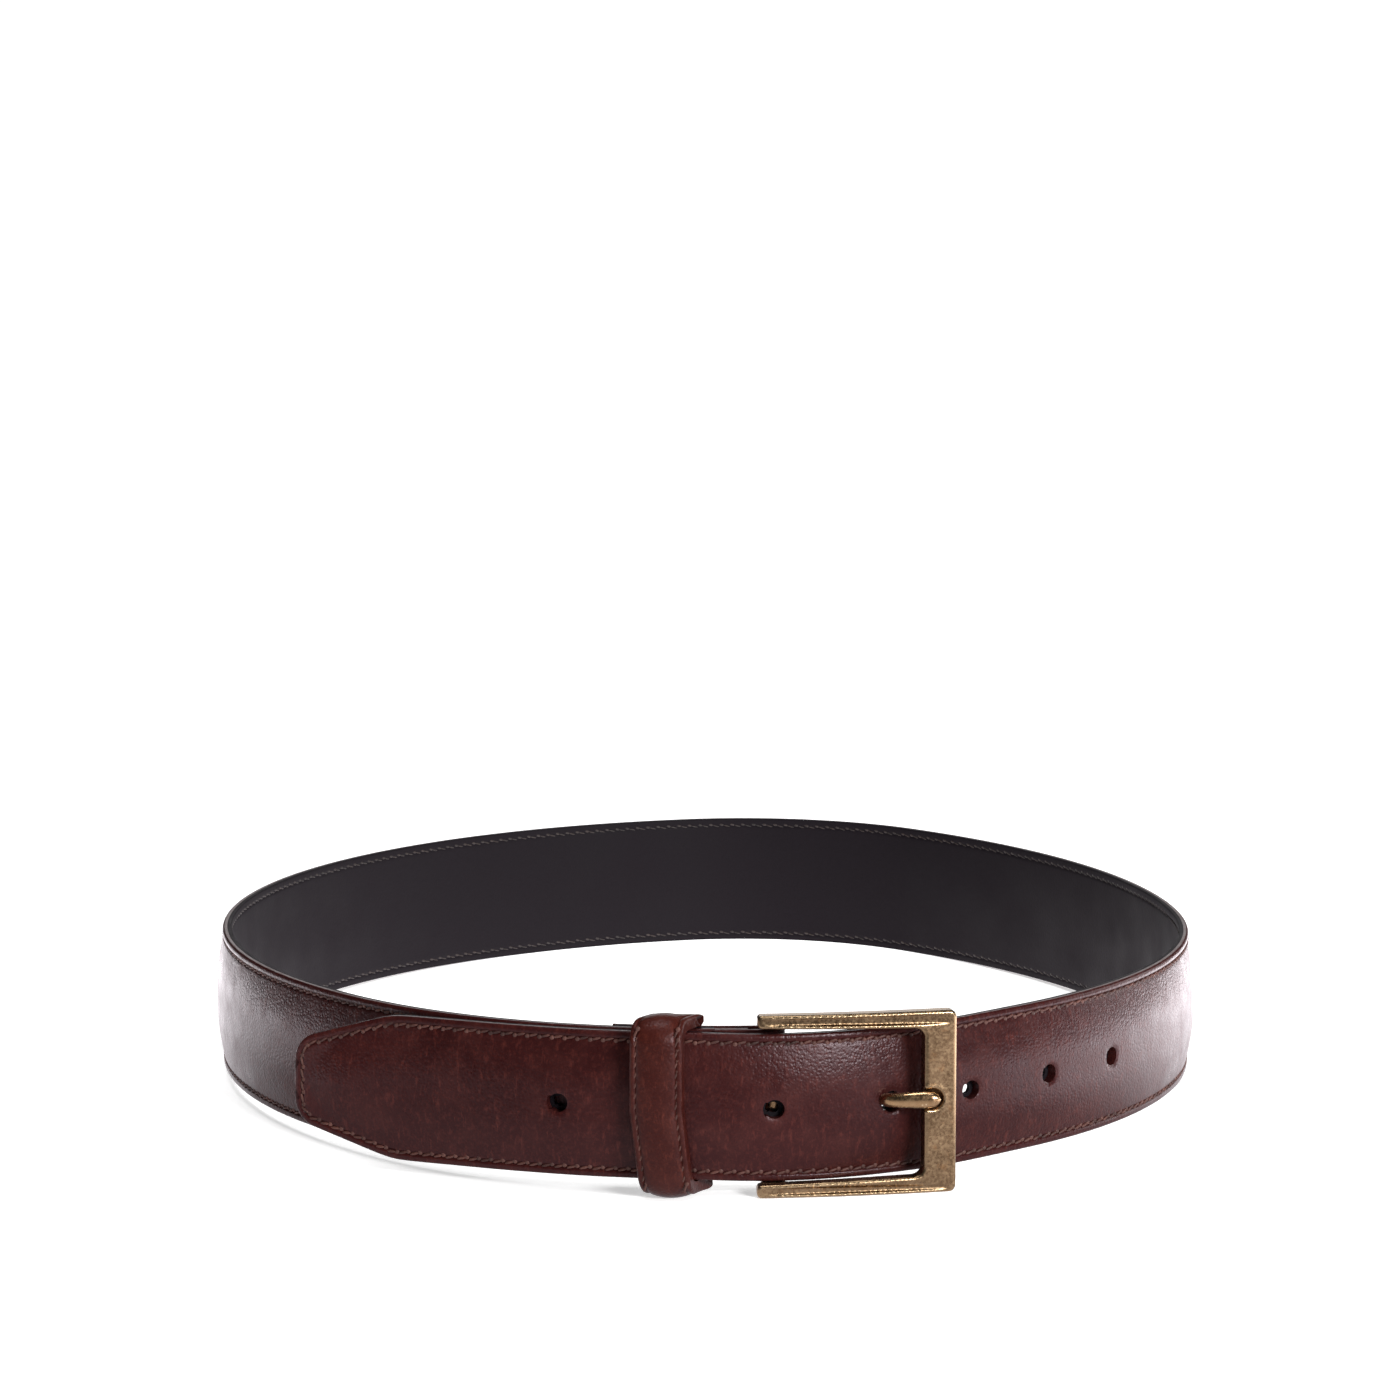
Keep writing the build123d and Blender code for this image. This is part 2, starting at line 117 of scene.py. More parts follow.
FREE_ARCS = [
    (BEND_C, 230.0, -22.0, -17.0), (PLAN_C, OVERLAP_R, -17.0, 1.0), (BUCKLE_C, 85.0, 1.0, 24.5),
    (FRONT_C, 145.0, 24.5, RIGHT_A), (RIGHT_C, 190.0, RIGHT_A, RIGHT_B), (BACK_C, BACK_R, RIGHT_B, 180.0)]
REAR_ARCS = [
    (BACK_C, BACK_R, -180.0, LEFT_B), (LEFT_C, 154.0, LEFT_B, LEFT_A), (LEFTF_C, 112.0, LEFT_A, -14.0),
    (PLAN_C, REAR_R, -14.0, 5.7304)]


class Path:
    """Inner line of the strap in plan: arcs, with an optional straight run before them."""

    def __init__(self, arcs, straight=0.0, sag=0.0):
        self.arcs = arcs
        self.straight = straight
        self.sag = sag
        self.lengths = [r * math.radians(b - a) for _, r, a, b in arcs]
        self.total = straight + sum(self.lengths)

    def at(self, s):
        """Position and heading at distances s (array)."""
        s = np.atleast_1d(np.asarray(s, float))
        pos = np.zeros((len(s), 2))
        head = np.zeros(len(s))
        c0, r0, h0, _ = self.arcs[0]
        start = c0 + r0 * outward(h0)
        t0 = np.array([math.cos(math.radians(h0)), math.sin(math.radians(h0))])
        before = s < self.straight
        pos[before] = start + (s[before] - self.straight)[:, None] * t0
        head[before] = h0
        done = self.straight
        last = len(self.arcs) - 1
        for i, (c, r, a, b) in enumerate(self.arcs):
            inside = (s >= done) & ((s < done + self.lengths[i]) | (i == last))
            h = a + np.degrees((s[inside] - done) / r)
            n = np.stack([np.sin(np.radians(h)), -np.cos(np.radians(h))], 1)
            pos[inside] = c + r * n
            head[inside] = h
            done += self.lengths[i]
        return pos, head

    def place(self, s, off, w):
        """Points (n,3) at distance s, offset outwards off and height w from the strap's middle."""
        pos, head = self.at(s)
        n = np.stack([np.sin(np.radians(head)), -np.cos(np.radians(head))], 1)
        p = pos + np.asarray(off)[:, None] * n
        start = TIP + self.lengths[0] + OVERLAP_R * math.radians(17.0) + SAG_AT
        drop = self.sag * np.exp(-((np.asarray(s) - start) / SAG_REACH)**4)
        return np.stack([p[:, 0], p[:, 1], MID + np.asarray(w) - drop], 1)


SAG_AT = 34.0
SAG_REACH = 34.0
FREE = Path(FREE_ARCS, TIP, sag=0.7)
REAR = Path(REAR_ARCS)
ZERO_S = TIP + FREE.lengths[0] + OVERLAP_R * math.radians(17.0)   # where the free half heads along +X

# ---------------------------------------------------------------- row frame
low_x = LEFT_C[0] - 154.0 - CROWN
high_x = RIGHT_C[0] + 190.0 + CROWN
high_y = BACK_C[1] + BACK_R + CROWN
SHIFT = np.array([(low_x + high_x) / 2, high_y - cad_high.y / MM, 0.0])


def mesh_object(name, verts, faces, smooth=True, uv=None, mat_index=None):
    """Mesh from points in plan millimetres."""
    me = bpy.data.meshes.new(name)
    me.from_pydata(((np.asarray(verts) - SHIFT) * MM).tolist(), [], [list(map(int, f)) for f in faces])
    if smooth:
        me.shade_smooth()
    if uv is not None:
        layer = me.uv_layers.new(name="UVMap")
        loop_v = np.zeros(len(me.loops), np.int32)
        me.loops.foreach_get("vertex_index", loop_v)
        layer.data.foreach_set("uv", np.asarray(uv, np.float32)[loop_v].ravel())
    if mat_index is not None:
        me.polygons.foreach_set("material_index", np.asarray(mat_index, np.int32))
    me.validate()
    ob = bpy.data.objects.new(name, me)
    bpy.context.scene.collection.objects.link(ob)
    return ob


# ---------------------------------------------------------------- strap outline
TAPER = 26.0
END_HALF = 10.0
CORNER = 5.0


TAPER_SLOPE = (HALF - END_HALF) / TAPER
TAPER_COS = math.cos(math.atan(TAPER_SLOPE))
KNEE = 1.6


def side_half(s):
    """Half width of the strap before its corners are rounded, s from the tapered end."""
    return HALF - TAPER_SLOPE * KNEE * np.logaddexp(0, (TAPER - s) / KNEE)


def edge_distance(s, w, tapered):
    """Distance from the outline of the strap."""
    if not tapered:
        return HALF - np.abs(w)
    k = 1 - (1 - TAPER_COS) * np.clip((TAPER - s) / 4 + 0.5, 0, 1)
    ds = (side_half(s) - np.abs(w)) * k
    return rounded_min(ds, s, CORNER)


def rounded_min(a, b, r):
    """Smaller of two distances, rounded where both are below r."""
    near = (a < r) & (b < r)
    return np.where(near, r - np.hypot(r - a, r - b), np.minimum(a, b))


def crown_distance(s, w, tapered):
    """Distance from the outline with wide corners, which the padding follows."""
    if not tapered:
        return HALF - np.abs(w)
    k = 1 - (1 - TAPER_COS) * np.clip((TAPER - s) / 16 + 0.5, 0, 1)
    half = HALF - TAPER_SLOPE * 5.0 * np.logaddexp(0, (TAPER - s) / 5.0)
    return rounded_min((half - np.abs(w)) * k, s, 15.0)


def outline_half(s, tapered):
    """Half width with rounded corners."""
    if not tapered:
        return np.full_like(s, HALF)
    de = np.clip(s, 0, CORNER)
    cut = CORNER - np.sqrt(np.maximum(CORNER**2 - (CORNER - de)**2, 0))
    return side_half(s) - cut / TAPER_COS


def face_profile(d, padded):
    """Outward offset of the face leather by distance from the edge."""
    t = np.clip((padded - 2.7) / 12.0, 0, 1)
    rise = (CROWN - EDGE) * np.sin(t * math.pi / 2)
    margin = 0.10 * np.exp(-((d - 1.15) / 0.5)**2)
    groove = -0.36 * np.exp(-((d - STITCH_IN) / 0.40)**2)
    r = 0.75
    e = np.clip(d, 0, r)
    corner = -(r - np.sqrt(np.maximum(r * r - (r - e)**2, 0))) * 0.8
    return EDGE + rise + margin + groove + corner


def lining_profile(d):
    """Offset of the lining's free face: small rounding and a groove under the bobbin row."""
    e = np.clip(d, 0, 0.4)
    corner = (0.4 - np.sqrt(np.maximum(0.16 - (0.4 - e)**2, 0))) * 0.7
    groove = 0.18 * np.exp(-((d - STITCH_IN) / 0.4)**2)
    return corner + groove


EDGE_STEPS = np.array([0, .04, .12, .25, .42, .6, .8, 1.05, 1.3, 1.5, 1.68, 1.82, 1.94, 2.05, 2.16, 2.28, 2.42, 2.62,
                       2.95, 3.6, 4.7])
INNER = np.linspace(-1, 1, 49)
HOLE_BOX = 5.0
HOLE_CELL = 0.5
HOLE_R = 2.3
LINING_HOLE_R = 1.3
USED_S = 38.3
PITCH = 25.4


def across(half):
    """Heights of the grid rows, n by m, for half widths (n,)."""
    inner = half - EDGE_STEPS[-1]
    left = -(half[:, None] - EDGE_STEPS[None, :-1])
    right = (half[:, None] - EDGE_STEPS[None, ::-1][:, 1:])
    return np.concatenate([left, inner[:, None] * INNER[None], right], 1)


def columns(s0, s1, tapered, holes):
    """Distances along the strap at which grid columns stand."""
    step = 0.8
    s = list(np.arange(s0, s1, step)) + [s1]
    if tapered:
        s = [v for v in s if v > 5.2]
        s += list(EDGE_STEPS) + [5.1]
    for centre, scale, _ in holes:
        reach = HOLE_BOX * scale
        s = [v for v in s if abs(v - centre) > reach + 0.3]
        s += list(centre + np.arange(-10, 11) * HOLE_CELL * scale)
    return np.array(sorted(set(np.round(s, 4))))


def warp_holes(S, W, holes):
    """Moves grid points so that a square ring round each hole becomes the hole's rim."""
    rim = np.zeros_like(S)
    drop = np.zeros(S.shape, bool)
    for centre, scale, radius in holes:
        x = (S - centre) / scale
        y = W.copy()
        m = np.maximum(np.abs(x), np.abs(y))
        inside = m <= HOLE_BOX + 1e-6
        inner_m = 2.0
        mm = np.maximum(m, 1e-6)
        rad = np.interp(m, [inner_m, HOLE_BOX], [radius, HOLE_BOX])
        t = np.clip((HOLE_BOX - m) / (HOLE_BOX - inner_m), 0, 1)
        t = t * t * (3 - 2 * t)
        length = np.maximum(np.hypot(x, y), 1e-6)
        nx = (1 - t) * x * rad / mm + t * x / length * rad
        ny = (1 - t) * y * rad / mm + t * y / length * rad
        nx = nx * scale
        S = np.where(inside, centre + nx, S)
        W = np.where(inside, ny, W)
        rim = np.where(inside, np.maximum(rim, np.exp(-((m - inner_m) / 0.45)**2)), rim)
        drop |= m < inner_m - 1e-6
    return S, W, rim, drop


def hole_list(kind):
    """Centre, stretch and radius of each hole in one ply; the one in use is worn to a slot."""
    found = []
    for i in range(7):
        s = ZERO_S + USED_S + (i - 3) * PITCH
        if i != 3:
            found.append((s, 1.0, HOLE_R if kind == "face" else LINING_HOLE_R))
        elif kind == "face":
            found.append((s + 3.2, 0.95, 2.6))
        else:
            found.append((s + 2.4, 1.3, 1.7))
    return found


def strap_ply(name, path, s0, s1, kind, tapered=False, punched=False):
    """One closed ply of the strap between two distances, as a swept ring of grid rows."""
    holes = hole_list(kind) if punched else []
    S1 = columns(s0, s1, tapered, holes)
    half = outline_half(S1, tapered)
    W = across(half)
    S = np.repeat(S1[:, None], W.shape[1], 1)
    if holes:
        first = len(EDGE_STEPS) - 1
        mid = np.arange(first, first + len(INNER))
        target = HOLE_CELL * (np.arange(len(INNER)) - (len(INNER) - 1) / 2)
        limit = half - EDGE_STEPS[-1]
        cells = (len(INNER) - 1) / 2 * HOLE_CELL
        near = HOLE_BOX
        k = np.where(np.abs(target) <= near, 0, (np.abs(target) - near) / (cells - near))
        W[:, mid] = np.sign(target) * np.where(
            np.abs(target) <= near, np.abs(target), near + k * (limit[:, None] - near))
    S, W, rim, drop = warp_holes(S, W, holes)
    d = edge_distance(S, W, tapered)
    d = np.maximum(d, 0)
    if kind == "face":
        wave = 0.05 * np.sin(S * 0.11 + W * 0.05) + 0.04 * np.sin(S * 0.043 + 1.3)
        outer = face_profile(d, crown_distance(S, W, tapered)) - 0.28 * rim + wave * np.clip((d - 4) / 6, 0, 1)
        inner = np.full_like(outer, LINING + 0.03)
    else:
        outer = np.full_like(d, LINING)
        inner = lining_profile(d) + 0.15 * rim
    n, m = S.shape
    top = path.place(S.ravel(), outer.ravel(), W.ravel())
    bot = path.place(S.ravel(), inner.ravel(), W.ravel())
    verts = np.concatenate([top, bot])
    uv = np.concatenate([np.stack([S.ravel(), W.ravel()], 1)] * 2) * MM
    N = n * m
    idx = np.arange(N).reshape(n, m)
    faces, mats = [], []
    cell_drop = np.zeros((n - 1, m - 1), bool)
    if holes:
        cell_drop = drop[:-1, :-1] | drop[1:, :-1] | drop[:-1, 1:] | drop[1:, 1:]
    keep = ~cell_drop
    a, b = idx[:-1, :-1], idx[1:, :-1]
    c, e = idx[1:, 1:], idx[:-1, 1:]
    quads = np.stack([a[keep], b[keep], c[keep], e[keep]], 1)
    faces += quads.tolist()
    mats += [0] * len(quads)
    faces += (quads[:, ::-1] + N).tolist()
    mats += [0] * len(quads)
    # painted long edges
    for j, flip in ((0, False), (m - 1, True)):
        p, q = idx[:-1, j], idx[1:, j]
        f = np.stack([p, p + N, q + N, q], 1) if not flip else np.stack([p, q, q + N, p + N], 1)
        faces += f.tolist()
        mats += [1] * len(f)
    for i, flip in ((0, True), (n - 1, False)):
        p, q = idx[i, :-1], idx[i, 1:]
        f = np.stack([p, p + N, q + N, q], 1) if not flip else np.stack([p, q, q + N, p + N], 1)
        faces += f.tolist()
        mats += [1] * len(f)
    # hole walls
    if holes:
        border = {}
        for (i, j) in zip(*np.where(cell_drop)):
            ring = [idx[i, j], idx[i + 1, j], idx[i + 1, j + 1], idx[i, j + 1]]
            for u, v in zip(ring, ring[1:] + ring[:1]):
                if (v, u) in border:
                    del border[(v, u)]
                else:
                    border[(u, v)] = True
        for u, v in border:
            faces.append([u, v, v + N, u + N])
            mats.append(1)
    faces = np.array(faces)
    used = np.unique(faces)
    remap = -np.ones(2 * N, int)
    remap[used] = np.arange(len(used))
    ob = mesh_object(name, verts[used], remap[faces], uv=uv[used], mat_index=mats)
    return ob


# ---------------------------------------------------------------- stitches
def capsule(length, width, height, rings=7, sides=8):
    """Unit stitch: a rounded bead along x, thicker in its middle, as verts and faces."""
    verts, faces = [], []
    for i in range(rings):
        a = math.pi * (i + 0.5) / rings
        x = -math.cos(a) * length / 2
        r = math.sin(a)**0.6
        for k in range(sides):
            t = 2 * math.pi * k / sides
            verts.append((x, math.cos(t) * width / 2 * r, math.sin(t) * height / 2 * r))
    verts.append((-length / 2, 0, 0))
    verts.append((length / 2, 0, 0))
    for i in range(rings - 1):
        for k in range(sides):
            a, b = i * sides + k, i * sides + (k + 1) % sides
            faces.append((a, b, b + sides, a + sides))
    end0, end1 = len(verts) - 2, len(verts) - 1
    for k in range(sides):
        faces.append((end0, (k + 1) % sides, k))
        faces.append((end1, (rings - 1) * sides + k, (rings - 1) * sides + (k + 1) % sides))
    return np.array(verts), faces


def stitches_object(name, spots, length, width, height, pitch=STITCH_PITCH):
    """Joins beads, each followed by a needle hole drawn as a small bead coloured near black as painted shade; a spot is
    (centre, along, across, out).
    """
    cv, cf = capsule(length, width, height)
    # The needle hole: a wide flat bead in the near-black painted-shade material, standing in for the shadow in the
    # hole.
    pv, pf = capsule(1.15, width * 1.75, height * 1.0, 5, 8)
    verts, faces, mats = [], [], []
    base = 0
    for centre, ax, ay, az in spots:
        pit = centre + ax * pitch / 2 - az * 0.06
        for v, f, at, index in ((cv, cf, centre, 0), (pv, pf, pit, 1)):
            verts.append(at + v[:, :1] * ax + v[:, 1:2] * ay + v[:, 2:] * az)
            faces += [[i + base for i in g] for g in f]
            mats += [index] * len(f)
            base += len(v)
    return mesh_object(name, np.concatenate(verts), faces, mat_index=mats)


def stitch_spots(path, s_list, w_list, angle_list, offset, slant=0.0):
    """Frames of stitches at (s, w) with a direction angle in the strap's own plane."""
    s_list, w_list = np.asarray(s_list, float), np.asarray(w_list, float)
    ang = np.asarray(angle_list, float) + slant
    centre = path.place(s_list, np.full(len(s_list), offset), w_list)
    _, head = path.at(s_list)
    h = np.radians(head)
    tangent = np.stack([np.cos(h), np.sin(h), np.zeros_like(h)], 1)
    normal = np.stack([np.sin(h), -np.cos(h), np.zeros_like(h)], 1)
    up = np.tile([0.0, 0.0, 1.0], (len(s_list), 1))
    along = np.cos(ang)[:, None] * tangent + np.sin(ang)[:, None] * up
    cross = -np.sin(ang)[:, None] * tangent + np.cos(ang)[:, None] * up
    return [(centre[i], along[i], cross[i], normal[i]) for i in range(len(s_list))]


def row_points(s0, s1, tapered):
    """Points of the two stitch rows, and the row across the tapered end, with directions."""
    pts = []
    if not tapered:
        n = int((s1 - s0) / STITCH_PITCH)
        s = s0 + (np.arange(n) + 0.5) * (s1 - s0) / n
        for side in (-1, 1):
            pts += [(v, side * (HALF - STITCH_IN), 0.0) for v in s]
        return pts
    inset_end = STITCH_IN
    h_end = END_HALF - STITCH_IN * 0.95
    line = [(s1, HALF - STITCH_IN), (TAPER, HALF - STITCH_IN), (inset_end + 2.2, h_end + 2.2 * 0.29 + 0.6),
            (inset_end, h_end - 1.4), (inset_end, -h_end + 1.4),
            (inset_end + 2.2, -h_end - 2.2 * 0.29 - 0.6), (TAPER, -HALF + STITCH_IN), (s1, -HALF + STITCH_IN)]
    line = np.array(line)
    seg = np.hypot(*(line[1:] - line[:-1]).T)
    acc = np.concatenate([[0], np.cumsum(seg)])
    n = int(acc[-1] / STITCH_PITCH)
    for t in (np.arange(n) + 0.5) * acc[-1] / n:
        k = min(np.searchsorted(acc, t) - 1, len(seg) - 1)
        p = line[k] + (line[k + 1] - line[k]) * (t - acc[k]) / seg[k]
        dvec = line[k + 1] - line[k]
        pts.append((p[0], p[1], math.atan2(dvec[1], dvec[0])))
    return pts


def add_stitches(name, path, s0, s1, offset, size, tapered=False):
    pts = row_points(s0, s1, tapered)
    s, w, a = zip(*pts)
    spots = stitch_spots(path, s, w, a, offset, slant=0.26)
    return stitches_object(name, spots, *size)


# ---------------------------------------------------------------- materials
class Nodes:
    """Small helper that adds shader nodes and links them."""

    def __init__(self, name):
        self.mat = bpy.data.materials.new(name)
        self.mat.use_nodes = True
        self.tree = self.mat.node_tree
        self.bsdf = self.tree.nodes["Principled BSDF"]

    def add(self, kind, inputs=None, **props):
        n = self.tree.nodes.new(kind)
        for k, v in props.items():
            setattr(n, k, v)
        for k, v in (inputs or {}).items():
            self.put(n, k, v)
        return n

    def put(self, node, key, value):
        if isinstance(value, bpy.types.NodeSocket):
            self.tree.links.new(value, node.inputs[key])
        else:
            node.inputs[key].default_value = value

    def set(self, **values):
        for k, v in values.items():
            self.put(self.bsdf, k.replace("_", " "), v)

    def coords(self, scale, space="Object"):
        tc = self.add("ShaderNodeTexCoord")
        mp = self.add("ShaderNodeMapping", {"Vector": tc.outputs[space]})
        mp.inputs["Scale"].default_value = scale
        return mp.outputs["Vector"]

    def noise(self, vector, scale, detail=3.0, rough=0.5, out="Fac"):
        n = self.add("ShaderNodeTexNoise", {"Vector": vector, "Scale": scale, "Detail": detail, "Roughness": rough})
        return n.outputs[out]

    def voronoi(self, vector, scale, feature="F1", out="Distance"):
        n = self.add("ShaderNodeTexVoronoi", {"Vector": vector, "Scale": scale}, feature=feature)
        return n.outputs[out]

    def ramp(self, fac, low, high, a=0.0, b=1.0):
        n = self.add("ShaderNodeMapRange", {"Value": fac, "From Min": low, "From Max": high, "To Min": a, "To Max": b})
        return n.outputs["Result"]

    def math(self, op, a, b):
        n = self.add("ShaderNodeMath", {0: a, 1: b}, operation=op)
        return n.outputs[0]

    def mix(self, fac, a, b):
        n = self.add("ShaderNodeMix", data_type="RGBA")
        self.put(n, 0, fac)
        self.put(n, 6, a)
        self.put(n, 7, b)
        return n.outputs[2]

    def bump(self, height, strength, distance, normal=None):
        n = self.add("ShaderNodeBump", {"Height": height, "Strength": strength, "Distance": distance})
        if normal is not None:
            self.put(n, "Normal", normal)
        return n.outputs["Normal"]


def rgb(r, g, b):
    return (r, g, b, 1.0)


def leather(name, dark, mid, red, rough=0.31, pebble=0.42, crease=0.55):
    m = Nodes(name)
    obj = m.coords((1, 1, 1), "Object")
    stretched = m.coords((1.0, 0.30, 1.0), "UV")
    cloud = m.noise(obj, 24, 4, 0.55)
    blotch = m.noise(obj, 130, 3, 0.6)
    fine = m.noise(obj, 1100, 3, 0.65)
    col = m.mix(m.ramp(cloud, 0.15, 0.85), rgb(*dark), rgb(*mid))
    col = m.mix(m.ramp(blotch, 0.45, 0.80, 0.0, 0.25), col, rgb(*red))
    col = m.mix(m.ramp(fine, 0.5, 0.8, 0.0, 0.45), col, rgb(*red))
    pores = m.voronoi(obj, 1250)
    small = m.noise(obj, 2600, 2, 0.6)
    wrinkle = m.noise(stretched, 800, 4, 0.68)
    swell = m.noise(obj, 260, 2, 0.5)
    col = m.mix(m.ramp(pores, 0.0, 0.3, 0.55, 0.0), col, rgb(*dark))
    col = m.mix(m.ramp(wrinkle, 0.55, 0.70, 0.0, 0.60), col, rgb(*red))
    n0 = m.bump(swell, 0.10, 0.0005)
    n1 = m.bump(m.ramp(pores, 0.0, 0.6), pebble, 0.00012, n0)
    n2 = m.bump(small, pebble * 0.7, 0.00006, n1)
    n3 = m.bump(wrinkle, crease, 0.00016, n2)
    r = m.math("ADD", m.ramp(blotch, 0.3, 0.7, -0.05, 0.07), rough)
    m.set(Base_Color=col, Roughness=r, Normal=n3, IOR=1.45)
    m.put(m.bsdf, "Specular IOR Level", 0.2)
    m.put(m.bsdf, "Specular Tint", rgb(1.0, 0.86, 0.91))
    return m.mat


def lining_mat():
    m = Nodes("lining_leather")
    obj = m.coords((1, 1, 1), "Object")
    cloud = m.noise(obj, 60, 3, 0.5)
    pores = m.voronoi(obj, 1100)
    fine = m.noise(obj, 2400, 3, 0.6)
    col = m.mix(cloud, rgb(0.0060, 0.0046, 0.0060), rgb(0.0095, 0.0072, 0.0093))
    n1 = m.bump(m.ramp(pores, 0, 0.6), 0.18, 0.0001)
    n2 = m.bump(fine, 0.15, 0.00005, n1)
    m.set(Base_Color=col, Roughness=m.ramp(cloud, 0.3, 0.7, 0.55, 0.68), Normal=n2)
    m.put(m.bsdf, "Specular IOR Level", 0.06)
    return m.mat


def edge_paint():
    m = Nodes("painted_edge")
    obj = m.coords((1, 1, 1), "Object")
    n = m.noise(obj, 500, 3, 0.5)
    col = m.mix(n, rgb(0.070, 0.030, 0.024), rgb(0.120, 0.056, 0.046))
    m.set(Base_Color=col, Roughness=0.40, Normal=m.bump(n, 0.2, 0.0001))
    m.put(m.bsdf, "Specular IOR Level", 0.4)
    return m.mat


def thread_mat(name, a, b):
    m = Nodes(name)
    obj = m.coords((1, 1, 1), "Object")
    twist = m.noise(obj, 2600, 2, 0.5)
    n = m.noise(obj, 200, 2, 0.5)
    col = m.mix(m.ramp(n, 0.3, 0.7), rgb(*a), rgb(*b))
    m.set(Base_Color=col, Roughness=0.62, Normal=m.bump(twist, 0.5, 0.0001))
    m.put(m.bsdf, "Specular IOR Level", 0.35)
    return m.mat


# Near-black colour for the needle holes between stitches: painted shade, standing in for the shadow inside each hole.
def painted_shade_pit_mat():
    m = Nodes("needle_hole_painted_shade")
    obj = m.coords((1, 1, 1), "Object")
    n = m.noise(obj, 900, 2, 0.5)
    m.set(Base_Color=m.mix(n, rgb(0.002, 0.001, 0.001), rgb(0.006, 0.003, 0.0025)), Roughness=0.9)
    m.put(m.bsdf, "Specular IOR Level", 0.05)
    return m.mat


def metal(name, dark, mid, light, rough, wear, speck):
    m = Nodes(name)
    obj = m.coords((1, 1, 1), "Object")
    cloud = m.noise(obj, 150, 4, 0.62)
    grain = m.noise(obj, 1300, 3, 0.7)
    spots = m.voronoi(obj, 1100)
    rust = m.noise(obj, 420, 3, 0.6)
    geo = m.add("ShaderNodeNewGeometry")
    edge = m.ramp(geo.outputs["Pointiness"], 0.505, 0.56)
    col = m.mix(m.ramp(cloud, 0.3, 0.7), rgb(*dark), rgb(*mid))
    col = m.mix(m.ramp(grain, 0.42, 0.72, 0.0, speck), col, rgb(*light))
    col = m.mix(m.ramp(spots, 0.0, 0.30, speck * 1.3, 0.0), col, rgb(*dark))
    col = m.mix(m.ramp(rust, 0.58, 0.74, 0.0, speck * 0.9), col, rgb(mid[0] * 1.35, mid[1] * 0.95, mid[2] * 0.62))
    col = m.mix(m.math("MULTIPLY", edge, wear), col, rgb(*light))
    r = m.math("ADD", m.ramp(grain, 0.3, 0.7, -0.06, 0.10), rough)
    m.set(Base_Color=col, Metallic=1.0, Roughness=r, Normal=m.bump(grain, 0.07, 0.00005))
    return m.mat


LEATHER = leather("burnished_leather", (0.0155, 0.0030, 0.0029), (0.028, 0.0054, 0.0053), (0.072, 0.0165, 0.0125))
KEEPER_LEATHER = leather("keeper_leather", (0.019, 0.0035, 0.0026), (0.034, 0.0063, 0.0046), (0.080, 0.0180, 0.0110),
                         rough=0.33)
PAINT = edge_paint()
LINING_MAT = lining_mat()
# Painted shade for the needle holes, used by every stitch row.
PAINTED_SHADE_PIT = painted_shade_pit_mat()
THREAD = thread_mat("brown_thread", (0.026, 0.0085, 0.0065), (0.085, 0.0310, 0.0230))
BOBBIN = thread_mat("bobbin_thread", (0.007, 0.0045, 0.0038), (0.016, 0.009, 0.007))
BRASS = metal("antique_brass", (0.140, 0.086, 0.047), (0.265, 0.172, 0.098), (0.64, 0.47, 0.28), 0.28, 0.9, 0.34)
PRONG_BRASS = metal("prong_brass", (0.34, 0.205, 0.108), (0.48, 0.31, 0.165), (0.85, 0.64, 0.40), 0.25, 0.7, 0.14)
PIN = metal("pin_steel", (0.12, 0.11, 0.10), (0.2, 0.19, 0.18), (0.35, 0.34, 0.32), 0.4, 0.5, 0.3)


def finish_piece(ob, mats, sharp=40):
    ob.data.materials.clear()
    for mat in mats:
        ob.data.materials.append(mat)
    ob.data.set_sharp_from_angle(angle=math.radians(sharp))


# ---------------------------------------------------------------- strap pieces
RIGHT_SPLIT = TIP + sum(FREE.lengths[:4]) + 6.0
LEFT_SPLIT = REAR.lengths[0] + REAR.lengths[1] - 6.0
REAR_END = REAR.total - REAR_R * math.radians(5.7304 - 3.0)
LINING_END = REAR.total - REAR_R * math.radians(5.7304 + 0.5)


def strap_set(tag, path, s0, s1, body, tapered=False, nodes=(), face_end=None, lining_end=None):
    """Face, lining and both stitch rows of one stretch of strap."""
    face_end = s1 if face_end is None else face_end
    lining_end = s1 if lining_end is None else lining_end
    made = []
    face = strap_ply("face_" + tag, path, s0, face_end, "face", tapered, tapered)
    finish_piece(face, [LEATHER, PAINT])
    lining = strap_ply("lining_" + tag, path, s0, lining_end, "lining", tapered, tapered)
    finish_piece(lining, [LINING_MAT, PAINT])
    needle = add_stitches("stitches_" + tag, path, s0, face_end, EDGE - 0.19, (2.25, 0.72, 0.74), tapered)
    finish_piece(needle, [THREAD, PAINTED_SHADE_PIT])
    bobbin = add_stitches("bobbin_" + tag, path, s0, lining_end, 0.14, (1.8, 0.40, 0.36), tapered)
    finish_piece(bobbin, [BOBBIN, PAINTED_SHADE_PIT])
    for ob, slot_name, node in zip((face, lining, needle, bobbin),
                                   ("face_leather", "lining_leather", "thread", "lining_thread"), nodes or (None,) * 4):
        if body is None:
            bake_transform(ob)
        else:
            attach(ob, body)
        if node:
            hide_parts(*node)
        made.append(ob)
    return made


strap_set("free_front", FREE, 0.0, RIGHT_SPLIT, "free_half", True,
          (("face_free_side", "core_free_side"), ("lining_free_side",), ("needle_thread_free_side",),
           ("bobbin_thread_free_side",)))
strap_set("free_back", FREE, RIGHT_SPLIT, FREE.total, None)
strap_set("rear_back", REAR, 0.0, LEFT_SPLIT, None)
strap_set("rear_front", REAR, LEFT_SPLIT, REAR.total, "strap", False,
          (("face_buckle_side", "core_buckle_side"), ("lining_buckle_side",), ("needle_thread_buckle_side",),
           ("bobbin_thread_buckle_side",)), REAR_END, LINING_END)


